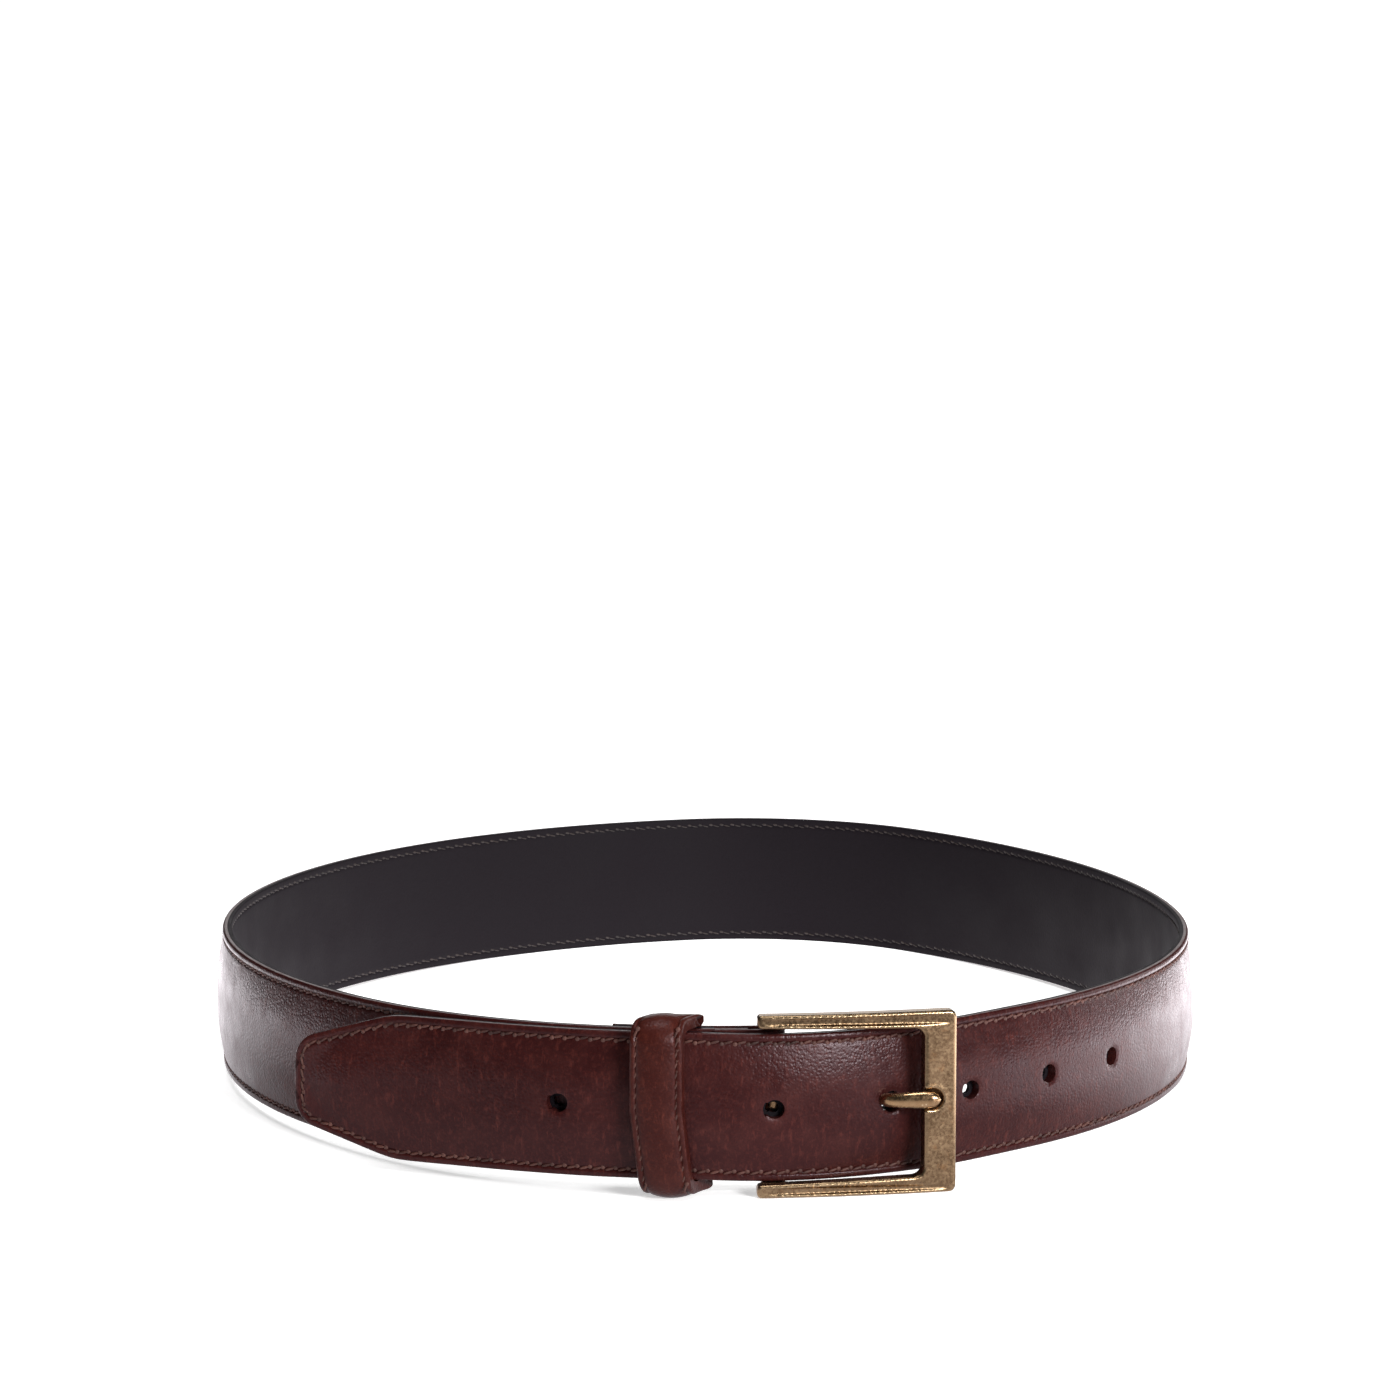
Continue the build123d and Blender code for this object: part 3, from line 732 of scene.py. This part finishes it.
# ---------------------------------------------------------------- plain plies: fold, turnback, filler
PIVOT_R = OVERLAP_R - 3.8
PIVOT_H = math.degrees(math.asin(13.1 / PIVOT_R))
PIVOT = PLAN_C + PIVOT_R * outward(PIVOT_H)


def arc_points(c, r, a, b, step=0.8):
    n = max(3, int(abs(math.radians(b - a)) * r / step))
    h = np.linspace(a, b, n)
    return np.stack([c[0] + r * np.sin(np.radians(h)), c[1] - r * np.cos(np.radians(h))], 1)


PLY_ROWS = np.concatenate([HALF - np.array([0, .05, .15, .3, .5, 1.0, 2.0]), np.linspace(14.5, -14.5, 59),
                           -(HALF - np.array([2.0, 1.0, .5, .3, .15, .05, 0]))])


def ply(name, line, thick, mats, slot_from=None, slot_half=3.0, half=HALF):
    """Closed ribbon on edge that follows a plan line; cells within the slot are left out."""
    rows = PLY_ROWS * half / HALF
    t = np.gradient(line, axis=0)
    t /= np.hypot(t[:, 0], t[:, 1])[:, None]
    nrm = np.stack([t[:, 1], -t[:, 0]], 1)
    e = np.minimum(half - np.abs(rows), 0.45)
    shrink = (0.45 - np.sqrt(np.maximum(0.2025 - (0.45 - e)**2, 0))) * 0.7
    n, m = len(line), len(rows)
    verts = []
    for side in (1, -1):
        off = side * (thick / 2 - shrink)
        p = line[:, None, :] + nrm[:, None, :] * off[None, :, None]
        z = np.broadcast_to(MID + rows[None, :], (n, m))
        verts.append(np.concatenate([p, z[:, :, None]], 2).reshape(-1, 3))
    N = n * m
    verts = np.concatenate(verts)
    idx = np.arange(N).reshape(n, m)
    drop = np.zeros((n - 1, m - 1), bool)
    if slot_from is not None:
        mid_rows = (rows[:-1] + rows[1:]) / 2
        mids = (line[:-1] + line[1:]) / 2
        near = np.hypot(*(mids - PIVOT).T) < slot_from
        drop = near[:, None] & (np.abs(mid_rows) < slot_half)[None, :]
    faces, mi, border = [], [], {}
    for i in range(n - 1):
        for j in range(m - 1):
            if drop[i, j]:
                continue
            q = [idx[i, j], idx[i, j + 1], idx[i + 1, j + 1], idx[i + 1, j]]
            faces.append(q)
            faces.append([v + N for v in q[::-1]])
            mi += [0, 0]
            for u, v in zip(q, q[1:] + q[:1]):
                if (v, u) in border:
                    del border[(v, u)]
                else:
                    border[(u, v)] = True
    for u, v in border:
        faces.append([v, u, u + N, v + N])
        mi.append(1)
    faces = np.array(faces)
    used = np.unique(faces)
    remap = -np.ones(2 * N, int)
    remap[used] = np.arange(len(used))
    along = np.concatenate([[0], np.cumsum(np.hypot(*(line[1:] - line[:-1]).T))])
    uv = np.stack(np.broadcast_arrays(along[:, None], rows[None, :]), 2).reshape(-1, 2)
    uv = np.concatenate([uv, uv]) * MM
    ob = mesh_object(name, verts[used], remap[faces], uv=uv[used], mat_index=mi)
    finish_piece(ob, mats)
    return ob


FOLD_MID = 2.2
FOLD_THICK = 1.2
fold_turn = np.linspace(PIVOT_H, PIVOT_H + 180, 24)
fold_line = np.concatenate([
    arc_points(PLAN_C, PIVOT_R + FOLD_MID, -0.4, PIVOT_H)[:-1],
    np.stack([PIVOT[0] + FOLD_MID * np.sin(np.radians(fold_turn)),
              PIVOT[1] - FOLD_MID * np.cos(np.radians(fold_turn))], 1),
    arc_points(PLAN_C, PIVOT_R - FOLD_MID, PIVOT_H, -11.3)[1:]])
fold = ply("fold_and_turnback", fold_line, FOLD_THICK, [LEATHER, PAINT], slot_from=3.5, slot_half=2.0)
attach(fold, "strap")

KEEPER_H = -5.9
KEEPER_W = 13.0
PLAY = 1.1
half_turn = math.degrees((KEEPER_W / 2 + PLAY) / OVERLAP_R)
filler_r = (REAR_R - 0.05 + PIVOT_R - 1.6 + 0.05) / 2
filler_t = (REAR_R - 0.05) - (PIVOT_R - 1.6 + 0.05)
for tag, a, b in (("left", -11.0, KEEPER_H - half_turn), ("right", KEEPER_H + half_turn, -0.5)):
    f = ply("turnback_filler_" + tag, arc_points(PLAN_C, filler_r, a, b), filler_t, [LINING_MAT, PAINT])
    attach(f, "strap")
    if tag == "left":
        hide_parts("turnback_filler")


def column_spots(radius, heading, w_list, outward_sign=1.0):
    n = outward(heading)
    spots = []
    for w in w_list:
        c = np.array([PLAN_C[0] + radius * n[0], PLAN_C[1] + radius * n[1], MID + w])
        spots.append((c, np.array([0, 0, 1.0]), np.array([-n[1], n[0], 0.0]), np.array([n[0], n[1], 0.0])))
    return spots


tab_r = PIVOT_R - FOLD_MID - FOLD_THICK / 2
turn_rows = np.linspace(-12.4, 12.4, 9)
turn_off = math.degrees((KEEPER_W / 2 + 1.6) / OVERLAP_R)
spots = column_spots(tab_r - 0.02, KEEPER_H - turn_off, turn_rows) + column_spots(tab_r - 0.02, KEEPER_H + turn_off, turn_rows)
turn_stitches = stitches_object("turnback_stitches", spots, 2.5, 0.6, 0.6)
finish_piece(turn_stitches, [THREAD, PAINTED_SHADE_PIT])
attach(turn_stitches, "strap")
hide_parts("turnback_stitching")


# ---------------------------------------------------------------- keeper
def rounded_loop(r0, r1, z_half, corners, count=150):
    """Closed loop in (radius, height) with rounded corners: back radius, front radius."""
    cb, cf = corners
    pts = []
    def arc(cx, cz, r, a, b, n=14):
        for t in np.linspace(a, b, n):
            pts.append((cx + r * math.cos(t), cz + r * math.sin(t)))
    arc(r1 - cf, z_half - cf, cf, 0, math.pi / 2)
    arc(r0 + cb, z_half - cb, cb, math.pi / 2, math.pi)
    arc(r0 + cb, -z_half + cb, cb, math.pi, 1.5 * math.pi)
    arc(r1 - cf, -z_half + cf, cf, 1.5 * math.pi, 2 * math.pi)
    pts = np.array(pts + [pts[0]])
    seg = np.hypot(*(pts[1:] - pts[:-1]).T)
    acc = np.concatenate([[0], np.cumsum(seg)])
    t = np.linspace(0, acc[-1], count, endpoint=False)
    return np.stack([np.interp(t, acc, pts[:, 0]), np.interp(t, acc, pts[:, 1])], 1)


def loop_normals(p):
    t = np.roll(p, -1, 0) - np.roll(p, 1, 0)
    t /= np.hypot(t[:, 0], t[:, 1])[:, None]
    return np.stack([t[:, 1], -t[:, 0]], 1)


KEEPER_IN = OVERLAP_R + CROWN + 0.5
KEEPER_BACK = REAR_R - 0.1
KEEPER_THICK = 3.0
KEEPER_FRONT = KEEPER_IN + KEEPER_THICK
KEEPER_HALF = HALF + 0.5 + KEEPER_THICK
KEEPER_U = np.array([-6.5, -6.46, -6.36, -6.2, -6.0, -5.75, -5.5, -5.35, -5.2, -5.06, -4.92, -4.78, -4.6, -4.3,
                     -3.8, -3.1, -2.2, -1.1, 0.0])
KEEPER_ROW = 4.92
KEEPER_U = np.concatenate([KEEPER_U, -KEEPER_U[::-1][1:]])
LEAN = 4.6
LEAN_DEPTH = 11.5
FRONT_WIDTH = 0.925
NUDGE = -0.35
BACK_LEAN = 1.5
BACK_WIDTH = 0.77
DROOP = 0.11


def keeper_height(u):
    """How far the keeper's outer face stands above its flat ply, across its width."""
    e = np.minimum(6.5 - np.abs(u), 0.9)
    corner = -(0.9 - np.sqrt(np.maximum(0.81 - (0.9 - e)**2, 0)))
    crown = 0.95 * np.clip(1 - (np.abs(u) / 4.9)**2, 0, 1)**0.85
    groove = -0.26 * np.exp(-((np.abs(u) - KEEPER_ROW) / 0.30)**2)
    return corner + crown + groove


def keeper_points(p, u):
    """Loop points (radius, height) at u millimetres along the strap from the keeper's middle, leaning."""
    r, w = p[:, 0], p[:, 1]
    depth = np.clip((KEEPER_FRONT - r) / LEAN_DEPTH, 0, 1)
    inside = np.clip((KEEPER_BACK + 3.0 - r) / 2.5, 0, 1) * np.clip((19.0 - np.abs(w)) / 3.0, 0, 1)
    lean = LEAN * depth**2
    lean = lean + (BACK_LEAN - LEAN) * inside
    droop = DROOP * np.maximum(-w, 0) * (1 - inside)
    width = FRONT_WIDTH - (FRONT_WIDTH - BACK_WIDTH) * inside
    h = np.radians(KEEPER_H) + (u * width + lean + droop + NUDGE * (1 - inside)) / OVERLAP_R
    x = PLAN_C[0] + r * np.sin(h)
    y = PLAN_C[1] - r * np.cos(h)
    return np.stack([x, y, MID + w], 1)


def keeper_mesh():
    outer = rounded_loop(KEEPER_BACK - 0.85, KEEPER_FRONT, KEEPER_HALF, (2.6, 5.6), 260)
    inner = rounded_loop(KEEPER_BACK, KEEPER_IN, HALF + 0.5, (0.6, 2.7), 260)
    nrm = loop_normals(outer)
    front = np.clip((outer[:, 0] - (KEEPER_BACK + 2.0)) / 3.0, 0, 1)
    bow = 0.7 * np.clip(1 - (outer[:, 1] / 19.0)**2, 0, 1) * np.clip((outer[:, 0] - KEEPER_IN) / 2.0, 0, 1)
    n, m = len(outer), len(KEEPER_U)
    verts = []
    for u in KEEPER_U:
        height = float(keeper_height(np.array([u]))[0])
        off = height * front if height > 0 else height * (0.35 + 0.65 * front)
        verts.append(keeper_points(outer + nrm * off[:, None] + np.stack([bow, 0 * bow], 1), u))
    for u in KEEPER_U:
        verts.append(keeper_points(inner, u))
    verts = np.concatenate(verts)
    total = m * n
    faces, mats = [], []
    for j in range(m - 1):
        rim = abs(KEEPER_U[j] + KEEPER_U[j + 1]) / 2 > 5.6
        for i in range(n):
            k = (i + 1) % n
            faces.append([j * n + i, (j + 1) * n + i, (j + 1) * n + k, j * n + k])
            faces.append([total + j * n + k, total + (j + 1) * n + k, total + (j + 1) * n + i, total + j * n + i])
            mats += [1 if rim else 0, 2]
    last = (m - 1) * n
    for i in range(n):
        k = (i + 1) % n
        faces.append([i, k, total + k, total + i])
        faces.append([last + k, last + i, total + last + i, total + last + k])
        mats += [1, 1]
    uv = np.concatenate([np.stack([np.full(n, u), outer[:, 1]], 1) for u in KEEPER_U] * 2) * MM
    ob = mesh_object("keeper_loop", verts, faces, uv=uv, mat_index=mats)
    tidy_normals(ob)
    finish_piece(ob, [KEEPER_LEATHER, PAINT, LINING_MAT])
    return ob


def tidy_normals(ob):
    """Turns every face of a closed mesh outwards."""
    bm = bmesh.new()
    bm.from_mesh(ob.data)
    bmesh.ops.recalc_face_normals(bm, faces=bm.faces)
    bm.to_mesh(ob.data)
    bm.free()


keeper = keeper_mesh()
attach(keeper, "keeper")
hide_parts("keeper_face", "keeper_core", "keeper_lining")


def keeper_stitches():
    spots = []
    rows = np.arange(-19, 19.1, 2.5)
    for side in (-1, 1):
        radius = KEEPER_FRONT - 0.30 + 0.7 * (1 - (rows / 19.0)**2)
        at = keeper_points(np.stack([radius, rows], 1), side * KEEPER_ROW)
        nearby = keeper_points(np.stack([radius, rows + 0.5], 1), side * KEEPER_ROW)
        n = outward(KEEPER_H)
        out = np.array([n[0], n[1], 0.0])
        for a, b in zip(at, nearby):
            along = (b - a) / np.linalg.norm(b - a)
            across_row = np.cross(along, out)
            turned = math.cos(0.45) * along + math.sin(0.45) * across_row
            spots.append((a, turned, np.cross(turned, out), out))
    ob = stitches_object("keeper_stitches", spots, 1.9, 0.62, 0.62, 2.5)
    finish_piece(ob, [THREAD, PAINTED_SHADE_PIT])
    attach(ob, "keeper")
    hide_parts("keeper_thread")


keeper_stitches()


# ---------------------------------------------------------------- buckle
FRAME_R = 270.0
FRAME_D = 4.2
FRAME_A, FRAME_B = 4.0, 14.3
FRAME_CORNER = np.array([9.2, -4.0])
FRAME_C = FRAME_CORNER - FRAME_R * outward(FRAME_A)
ARM = 3.3
ARM_AT_BAR = 4.2
BAR = 8.0
PLATE_LEN = math.radians(FRAME_B - FRAME_A) * FRAME_R


def rounded_outline():
    """Outline of the three-sided frame in its own flat plane, x along the arms."""
    H = FRAME_HEIGHT / 2
    pts = []
    def corner(cx, cy, r, a, b, n=8):
        for t in np.linspace(math.radians(a), math.radians(b), n):
            pts.append((cx + r * math.cos(t), cy + r * math.sin(t)))
    ro, ri, re = 1.7, 2.4, 1.1
    corner(PLATE_LEN - ro, -H + ro, ro, -90, 0)
    corner(PLATE_LEN - ro, H - ro, ro, 0, 90)
    corner(re, H - re, re, 90, 180, 5)
    corner(re, H - ARM + re, re, 180, 270, 5)
    xi = PLATE_LEN - BAR
    corner(xi - ri, H - ARM_AT_BAR - ri, ri, 90, 0)
    corner(xi - ri, -H + ARM_AT_BAR + ri, ri, 0, -90)
    corner(re, -H + ARM - re, re, 90, 180, 5)
    corner(re, -H + re, re, 180, 270, 5)
    dense = []
    for p, q in zip(pts, pts[1:] + pts[:1]):
        p, q = np.array(p), np.array(q)
        k = max(1, int(np.hypot(*(q - p)) / 1.5))
        dense += [tuple(p + (q - p) * i / k) for i in range(k)]
    return dense


def curve_plate(points, depth, bevel):
    """Flat plate with rounded edges from an outline, as a mesh; x, y in plane, z through it."""
    cu = bpy.data.curves.new("plate_curve", "CURVE")
    cu.dimensions = "2D"
    cu.fill_mode = "BOTH"
    cu.extrude = (depth / 2 - bevel)
    cu.bevel_depth = bevel
    cu.bevel_resolution = 4
    cu.offset = -bevel
    sp = cu.splines.new("POLY")
    sp.points.add(len(points) - 1)
    for i, (x, y) in enumerate(points):
        sp.points[i].co = (x, y, 0, 1)
    sp.use_cyclic_u = True
    ob = bpy.data.objects.new("plate_tmp", cu)
    bpy.context.scene.collection.objects.link(ob)
    dg = bpy.context.evaluated_depsgraph_get()
    me = bpy.data.meshes.new_from_object(ob.evaluated_get(dg))
    bpy.data.objects.remove(ob)
    return me


def bake(name, ob):
    """The evaluated mesh of ob as a new plain object; ob is removed."""
    dg = bpy.context.evaluated_depsgraph_get()
    me = bpy.data.meshes.new_from_object(ob.evaluated_get(dg))
    bpy.data.objects.remove(ob)
    new = bpy.data.objects.new(name, me)
    bpy.context.scene.collection.objects.link(new)
    return new


def remesh_smooth(name, ob, voxel, smooth):
    """Voxel remesh and smooth, for the soft edges of a casting."""
    mod = ob.modifiers.new("remesh", "REMESH")
    mod.mode = "VOXEL"
    mod.voxel_size = voxel * MM
    sm = ob.modifiers.new("smooth", "SMOOTH")
    sm.factor = 0.5
    sm.iterations = smooth
    return bake(name, ob)


def raw_object(name, verts, faces):
    """Object from points already in plan millimetres."""
    return mesh_object(name, verts, faces)


def tube(centre, radius, z0, z1, axis="Z", sides=40, inner=0.0):
    """Solid cylinder standing on Z at centre, as verts and faces; inner, meant for a ring, is not used."""
    verts, faces = [], []
    for z in (z0, z1):
        for k in range(sides):
            t = 2 * math.pi * k / sides
            verts.append((centre[0] + radius * math.cos(t), centre[1] + radius * math.sin(t), z))
    faces += [[k, (k + 1) % sides, sides + (k + 1) % sides, sides + k] for k in range(sides)]
    faces.append(list(range(sides))[::-1])
    faces.append(list(range(sides, 2 * sides)))
    return verts, faces


def box_verts(cx, cy, z0, z1, dx, dy):
    verts = [(cx + sx * dx / 2, cy + sy * dy / 2, z) for z in (z0, z1) for sx, sy in ((-1, -1), (1, -1), (1, 1), (-1, 1))]
    faces = [[0, 3, 2, 1], [4, 5, 6, 7], [0, 1, 5, 4], [1, 2, 6, 5], [2, 3, 7, 6], [3, 0, 4, 7]]
    return verts, faces


def join_raw(parts):
    verts, faces = [], []
    for v, f in parts:
        base = len(verts)
        verts += [tuple(p) for p in v]
        faces += [[i + base for i in g] for g in f]
    return verts, faces


def buckle_mesh():
    me = curve_plate(rounded_outline(), FRAME_D, 0.8)
    flat = np.array([v.co for v in me.vertices], float).reshape(-1, 3)
    h = FRAME_A + np.degrees(flat[:, 0] / FRAME_R)
    r = FRAME_R - FRAME_D / 2 + flat[:, 2]
    verts = np.stack([FRAME_C[0] + r * np.sin(np.radians(h)), FRAME_C[1] - r * np.cos(np.radians(h)), MID + flat[:, 1]], 1)
    faces = [list(p.vertices) for p in me.polygons]
    parts = [(verts, faces)]
    for z0 in (1.6, FRAME_HEIGHT - 1.6 - 2.0):
        parts.append(tube(PIVOT, 3.0, z0, z0 + 2.0))
        depth = PIVOT[1] + 4.0 - 1.8
        parts.append(box_verts(PIVOT[0], PIVOT[1] - depth / 2, z0, z0 + 2.0, 5.6, depth))
    v, f = join_raw(parts)
    ob = raw_object("frame_raw", v, f)
    bm = bmesh.new()
    bm.from_mesh(ob.data)
    bmesh.ops.remove_doubles(bm, verts=bm.verts, dist=1e-6)
    bmesh.ops.recalc_face_normals(bm, faces=bm.faces)
    bm.to_mesh(ob.data)
    bm.free()
    ob = remesh_smooth("buckle_frame_cast", ob, 0.2, 7)
    # seat for the prong, pressed into the front of the bar
    co = np.array([p.co for p in ob.data.vertices], float).reshape(-1, 3)
    pts = co / MM + SHIFT
    rel = pts[:, :2] - FRAME_C
    rr = np.hypot(rel[:, 0], rel[:, 1])
    hh = np.degrees(np.arctan2(rel[:, 0], -rel[:, 1]))
    u = np.radians(hh - FRAME_A) * FRAME_R
    w = pts[:, 2] - MID
    on_front = np.clip((rr - (FRAME_R - 2.4)) / 1.2, 0, 1)
    past = np.maximum(u - (PLATE_LEN - 5.9), 0)
    reach = np.hypot(past, w - 0.72)
    dip = (1.2 * np.exp(-(reach / 2.35)**6) - 0.10 * np.exp(-((reach - 3.1) / 0.6)**2)) * on_front
    dip = dip * np.clip((u - (PLATE_LEN - BAR - 0.6)) / 0.6, 0, 1)
    n2 = rel / rr[:, None]
    pts[:, :2] -= n2 * dip[:, None]
    ob.data.vertices.foreach_set("co", ((pts - SHIFT) * MM).astype(np.float32).ravel())
    ob.data.update()
    ob.data.shade_smooth()
    finish_piece(ob, [BRASS], 180)
    return ob


buckle = buckle_mesh()
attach(buckle, "frame")
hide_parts("buckle_frame")

pin_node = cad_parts["pivot_bar"]
pin_node.data.materials.clear()
pin_node.data.materials.append(PIN)


def prong_mesh():
    """Prong as a swept oval with a keel along its top, an eye round the pin and a rounded nose."""
    x, y = PIVOT
    key = np.array([(0, 0), (8, 1.4), (18.2, 3.1), (21.2, 4.3), (23.9, 4.9), (25.6, 3.7), (26.4, 1.3), (27.6, -0.9),
                    (30.2, -2.1), (35.2, -2.55), (40.1, -2.6)], float)
    t = np.concatenate([[0], np.cumsum(np.hypot(*(key[1:] - key[:-1]).T))])
    tt = np.linspace(0, t[-1], 120)
    px, py = smooth_curve(t, key[:, 0], tt), smooth_curve(t, key[:, 1], tt)
    d = np.stack([np.gradient(px), np.gradient(py)], 1)
    d /= np.hypot(d[:, 0], d[:, 1])[:, None]
    front = np.stack([d[:, 1], -d[:, 0]], 1)
    total = t[-1]
    half_w = np.interp(tt, [0, 4, 12, 26, total - 8, total - 4.0, total - 1.6, total - 0.5, total],
                       [1.5, 1.5, 1.45, 1.35, 1.95, 2.15, 1.85, 1.1, 0.15])
    half_t = np.interp(tt, [0, 10, 26, total - 8, total - 2, total - 0.6, total], [1.25, 1.25, 1.25, 1.3, 1.2, 0.8, 0.15])
    lift = np.interp(tt, [0, total - 16, total - 8, total], [0, 0, 0.62, 0.75])
    sides = 28
    verts, faces = [], []
    for i in range(len(tt)):
        for k in range(sides):
            a = 2 * math.pi * k / sides
            c, s = math.cos(a), math.sin(a)
            e = 0.8
            w = half_w[i] * math.copysign(abs(c)**e, c)
            f = half_t[i] * math.copysign(abs(s)**(1.25 if s > 0 else 0.6), s)
            f *= 1.12 if s > 0 else 1.0
            p = np.array([x + px[i], y + py[i]]) + front[i] * f
            verts.append((p[0], p[1], MID + w + lift[i]))
    for i in range(len(tt) - 1):
        for k in range(sides):
            j = (k + 1) % sides
            faces.append([i * sides + k, i * sides + j, (i + 1) * sides + j, (i + 1) * sides + k])
    faces.append(list(range(sides)))
    faces.append([(len(tt) - 1) * sides + k for k in range(sides)][::-1])
    parts = [(verts, faces), tube(PIVOT, 2.7, MID - 1.6, MID + 1.6)]
    v, f = join_raw(parts)
    ob = raw_object("prong_raw", v, f)
    tidy_normals(ob)
    ob = remesh_smooth("prong_cast", ob, 0.14, 9)
    ob.data.shade_smooth()
    finish_piece(ob, [PRONG_BRASS], 180)
    return ob


def smooth_curve(t, v, tt):
    """Monotone-free cubic through the key points with centred slopes."""
    m = np.gradient(v, t)
    k = np.clip(np.searchsorted(t, tt) - 1, 0, len(t) - 2)
    h = t[k + 1] - t[k]
    s = (tt - t[k]) / h
    return ((2 * s**3 - 3 * s**2 + 1) * v[k] + (s**3 - 2 * s**2 + s) * h * m[k]
            + (-2 * s**3 + 3 * s**2) * v[k + 1] + (s**3 - s**2) * h * m[k + 1])


prong = prong_mesh()
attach(prong, "prong")
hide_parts("prong")


# ---------------------------------------------------------------- stage, lights, camera
TILT = math.atan2(4.75, 304.0)


def make_floor():
    """White sweep; in reflections it is brightest behind and beside the belt."""
    me = bpy.data.meshes.new("floor")
    s = 14.0
    me.from_pydata([(-s, -s, 0), (s, -s, 0), (s, s, 0), (-s, s, 0)], [], [(0, 1, 2, 3)])
    ob = bpy.data.objects.new("floor", me)
    bpy.context.scene.collection.objects.link(ob)
    ob.rotation_euler = (TILT, 0, 0)
    ob.location = (0, (-4.0 - SHIFT[1]) * MM, -0.00005)
    m = Nodes("floor_paper")
    m.set(Base_Color=rgb(0.9, 0.9, 0.9), Roughness=0.75)
    m.put(m.bsdf, "Specular IOR Level", 0.05)
    m.put(m.bsdf, "Emission Color", rgb(1, 1, 1))
    m.set(Emission_Strength=0.5)
    geo = m.add("ShaderNodeNewGeometry")
    xyz = m.add("ShaderNodeSeparateXYZ", {"Vector": geo.outputs["Position"]})
    near = m.ramp(xyz.outputs["Y"], -0.34, -0.18, 0.30, 0.85)
    behind = m.ramp(xyz.outputs["Y"], -0.06, 0.10, 0.0, 3.2)
    right = m.ramp(xyz.outputs["X"], 0.11, 0.24, 0.0, 7.4)
    left = m.ramp(xyz.outputs["X"], -0.16, -0.25, 0.0, 4.2)
    glow = m.math("ADD", near, m.math("MAXIMUM", behind, m.math("MAXIMUM", left, right)))
    reach = m.add("ShaderNodeVectorMath", {0: geo.outputs["Position"]}, operation="LENGTH").outputs["Value"]
    glow = m.math("MULTIPLY", glow, m.ramp(reach, 0.28, 0.42, 1.0, 0.04))
    shine = m.add("ShaderNodeEmission", {"Color": rgb(1.0, 0.95, 0.99), "Strength": glow})
    path = m.add("ShaderNodeLightPath")
    both = m.add("ShaderNodeMixShader")
    m.put(both, 0, path.outputs["Is Glossy Ray"])
    m.put(both, 1, m.bsdf.outputs[0])
    m.put(both, 2, shine.outputs[0])
    m.put(m.tree.nodes["Material Output"], "Surface", both.outputs[0])
    ob.data.materials.append(m.mat)
    return ob


def area(name, loc, target, size, power, color=(1, 1, 1), size_y=None):
    li = bpy.data.lights.new(name, "AREA")
    li.shape = "RECTANGLE"
    li.size = size
    li.size_y = size_y or size
    li.energy = power
    li.color = color
    ob = bpy.data.objects.new(name, li)
    bpy.context.scene.collection.objects.link(ob)
    ob.location = loc
    ob.rotation_mode = "QUATERNION"
    ob.rotation_quaternion = (Vector(target) - Vector(loc)).to_track_quat("-Z", "Y")
    ob.visible_camera = False
    return ob


make_floor()
world = bpy.data.worlds.new("studio")
bpy.context.scene.world = world
world.use_nodes = True
wt = world.node_tree
back = wt.nodes["Background"]
back.inputs[0].default_value = (1, 1, 1, 1)
light_path = wt.nodes.new("ShaderNodeLightPath")
seen = wt.nodes.new("ShaderNodeMapRange")
wt.links.new(light_path.outputs["Is Camera Ray"], seen.inputs["Value"])
seen.inputs["To Min"].default_value = 0.05
seen.inputs["To Max"].default_value = 1.05
wt.links.new(seen.outputs["Result"], back.inputs[1])

sun = bpy.data.lights.new("top_sun", "SUN")
sun.energy = 2.0
sun.angle = math.radians(46)
sun_ob = bpy.data.objects.new("top_sun", sun)
bpy.context.scene.collection.objects.link(sun_ob)
sun_ob.rotation_euler = (math.radians(6), math.radians(5), 0)
sun_ob.visible_glossy = False


def around(azimuth, elevation, distance):
    """Point seen from the belt at an azimuth from the camera side towards +X."""
    a, e = math.radians(azimuth), math.radians(elevation)
    return (distance * math.sin(a) * math.cos(e), -distance * math.cos(a) * math.cos(e), distance * math.sin(e) + 0.03)


area("right_front_softbox", around(36, 18, 1.5), (0, 0, 0.03), 0.50, 26.0, size_y=0.24)
area("right_softbox", around(112, 10, 1.4), (0, 0, 0.03), 0.8, 4.0, size_y=0.35)
area("back_panel", (0, 2.0, 0.75), (0, 0, 0.03), 1.1, 5.0, size_y=0.9)
area("overhead", around(-8, 80, 1.6), (0, 0, 0.03), 0.6, 8.0, size_y=0.35)

cam_data = bpy.data.cameras.new("camera")
cam = bpy.data.objects.new("camera", cam_data)
bpy.context.scene.collection.objects.link(cam)
CAM_PITCH = 8.57
cam.location = (-1.28 * MM, -1452.0 * MM, 316.6 * MM)
cam.rotation_euler = (math.radians(90 - CAM_PITCH), 0, 0)
cam_data.sensor_width = 36.0
cam_data.lens = 5593 / 1400 * 36.0
cam_data.clip_end = 100
bpy.context.scene.camera = cam
bpy.context.scene.view_settings.view_transform = "Standard"
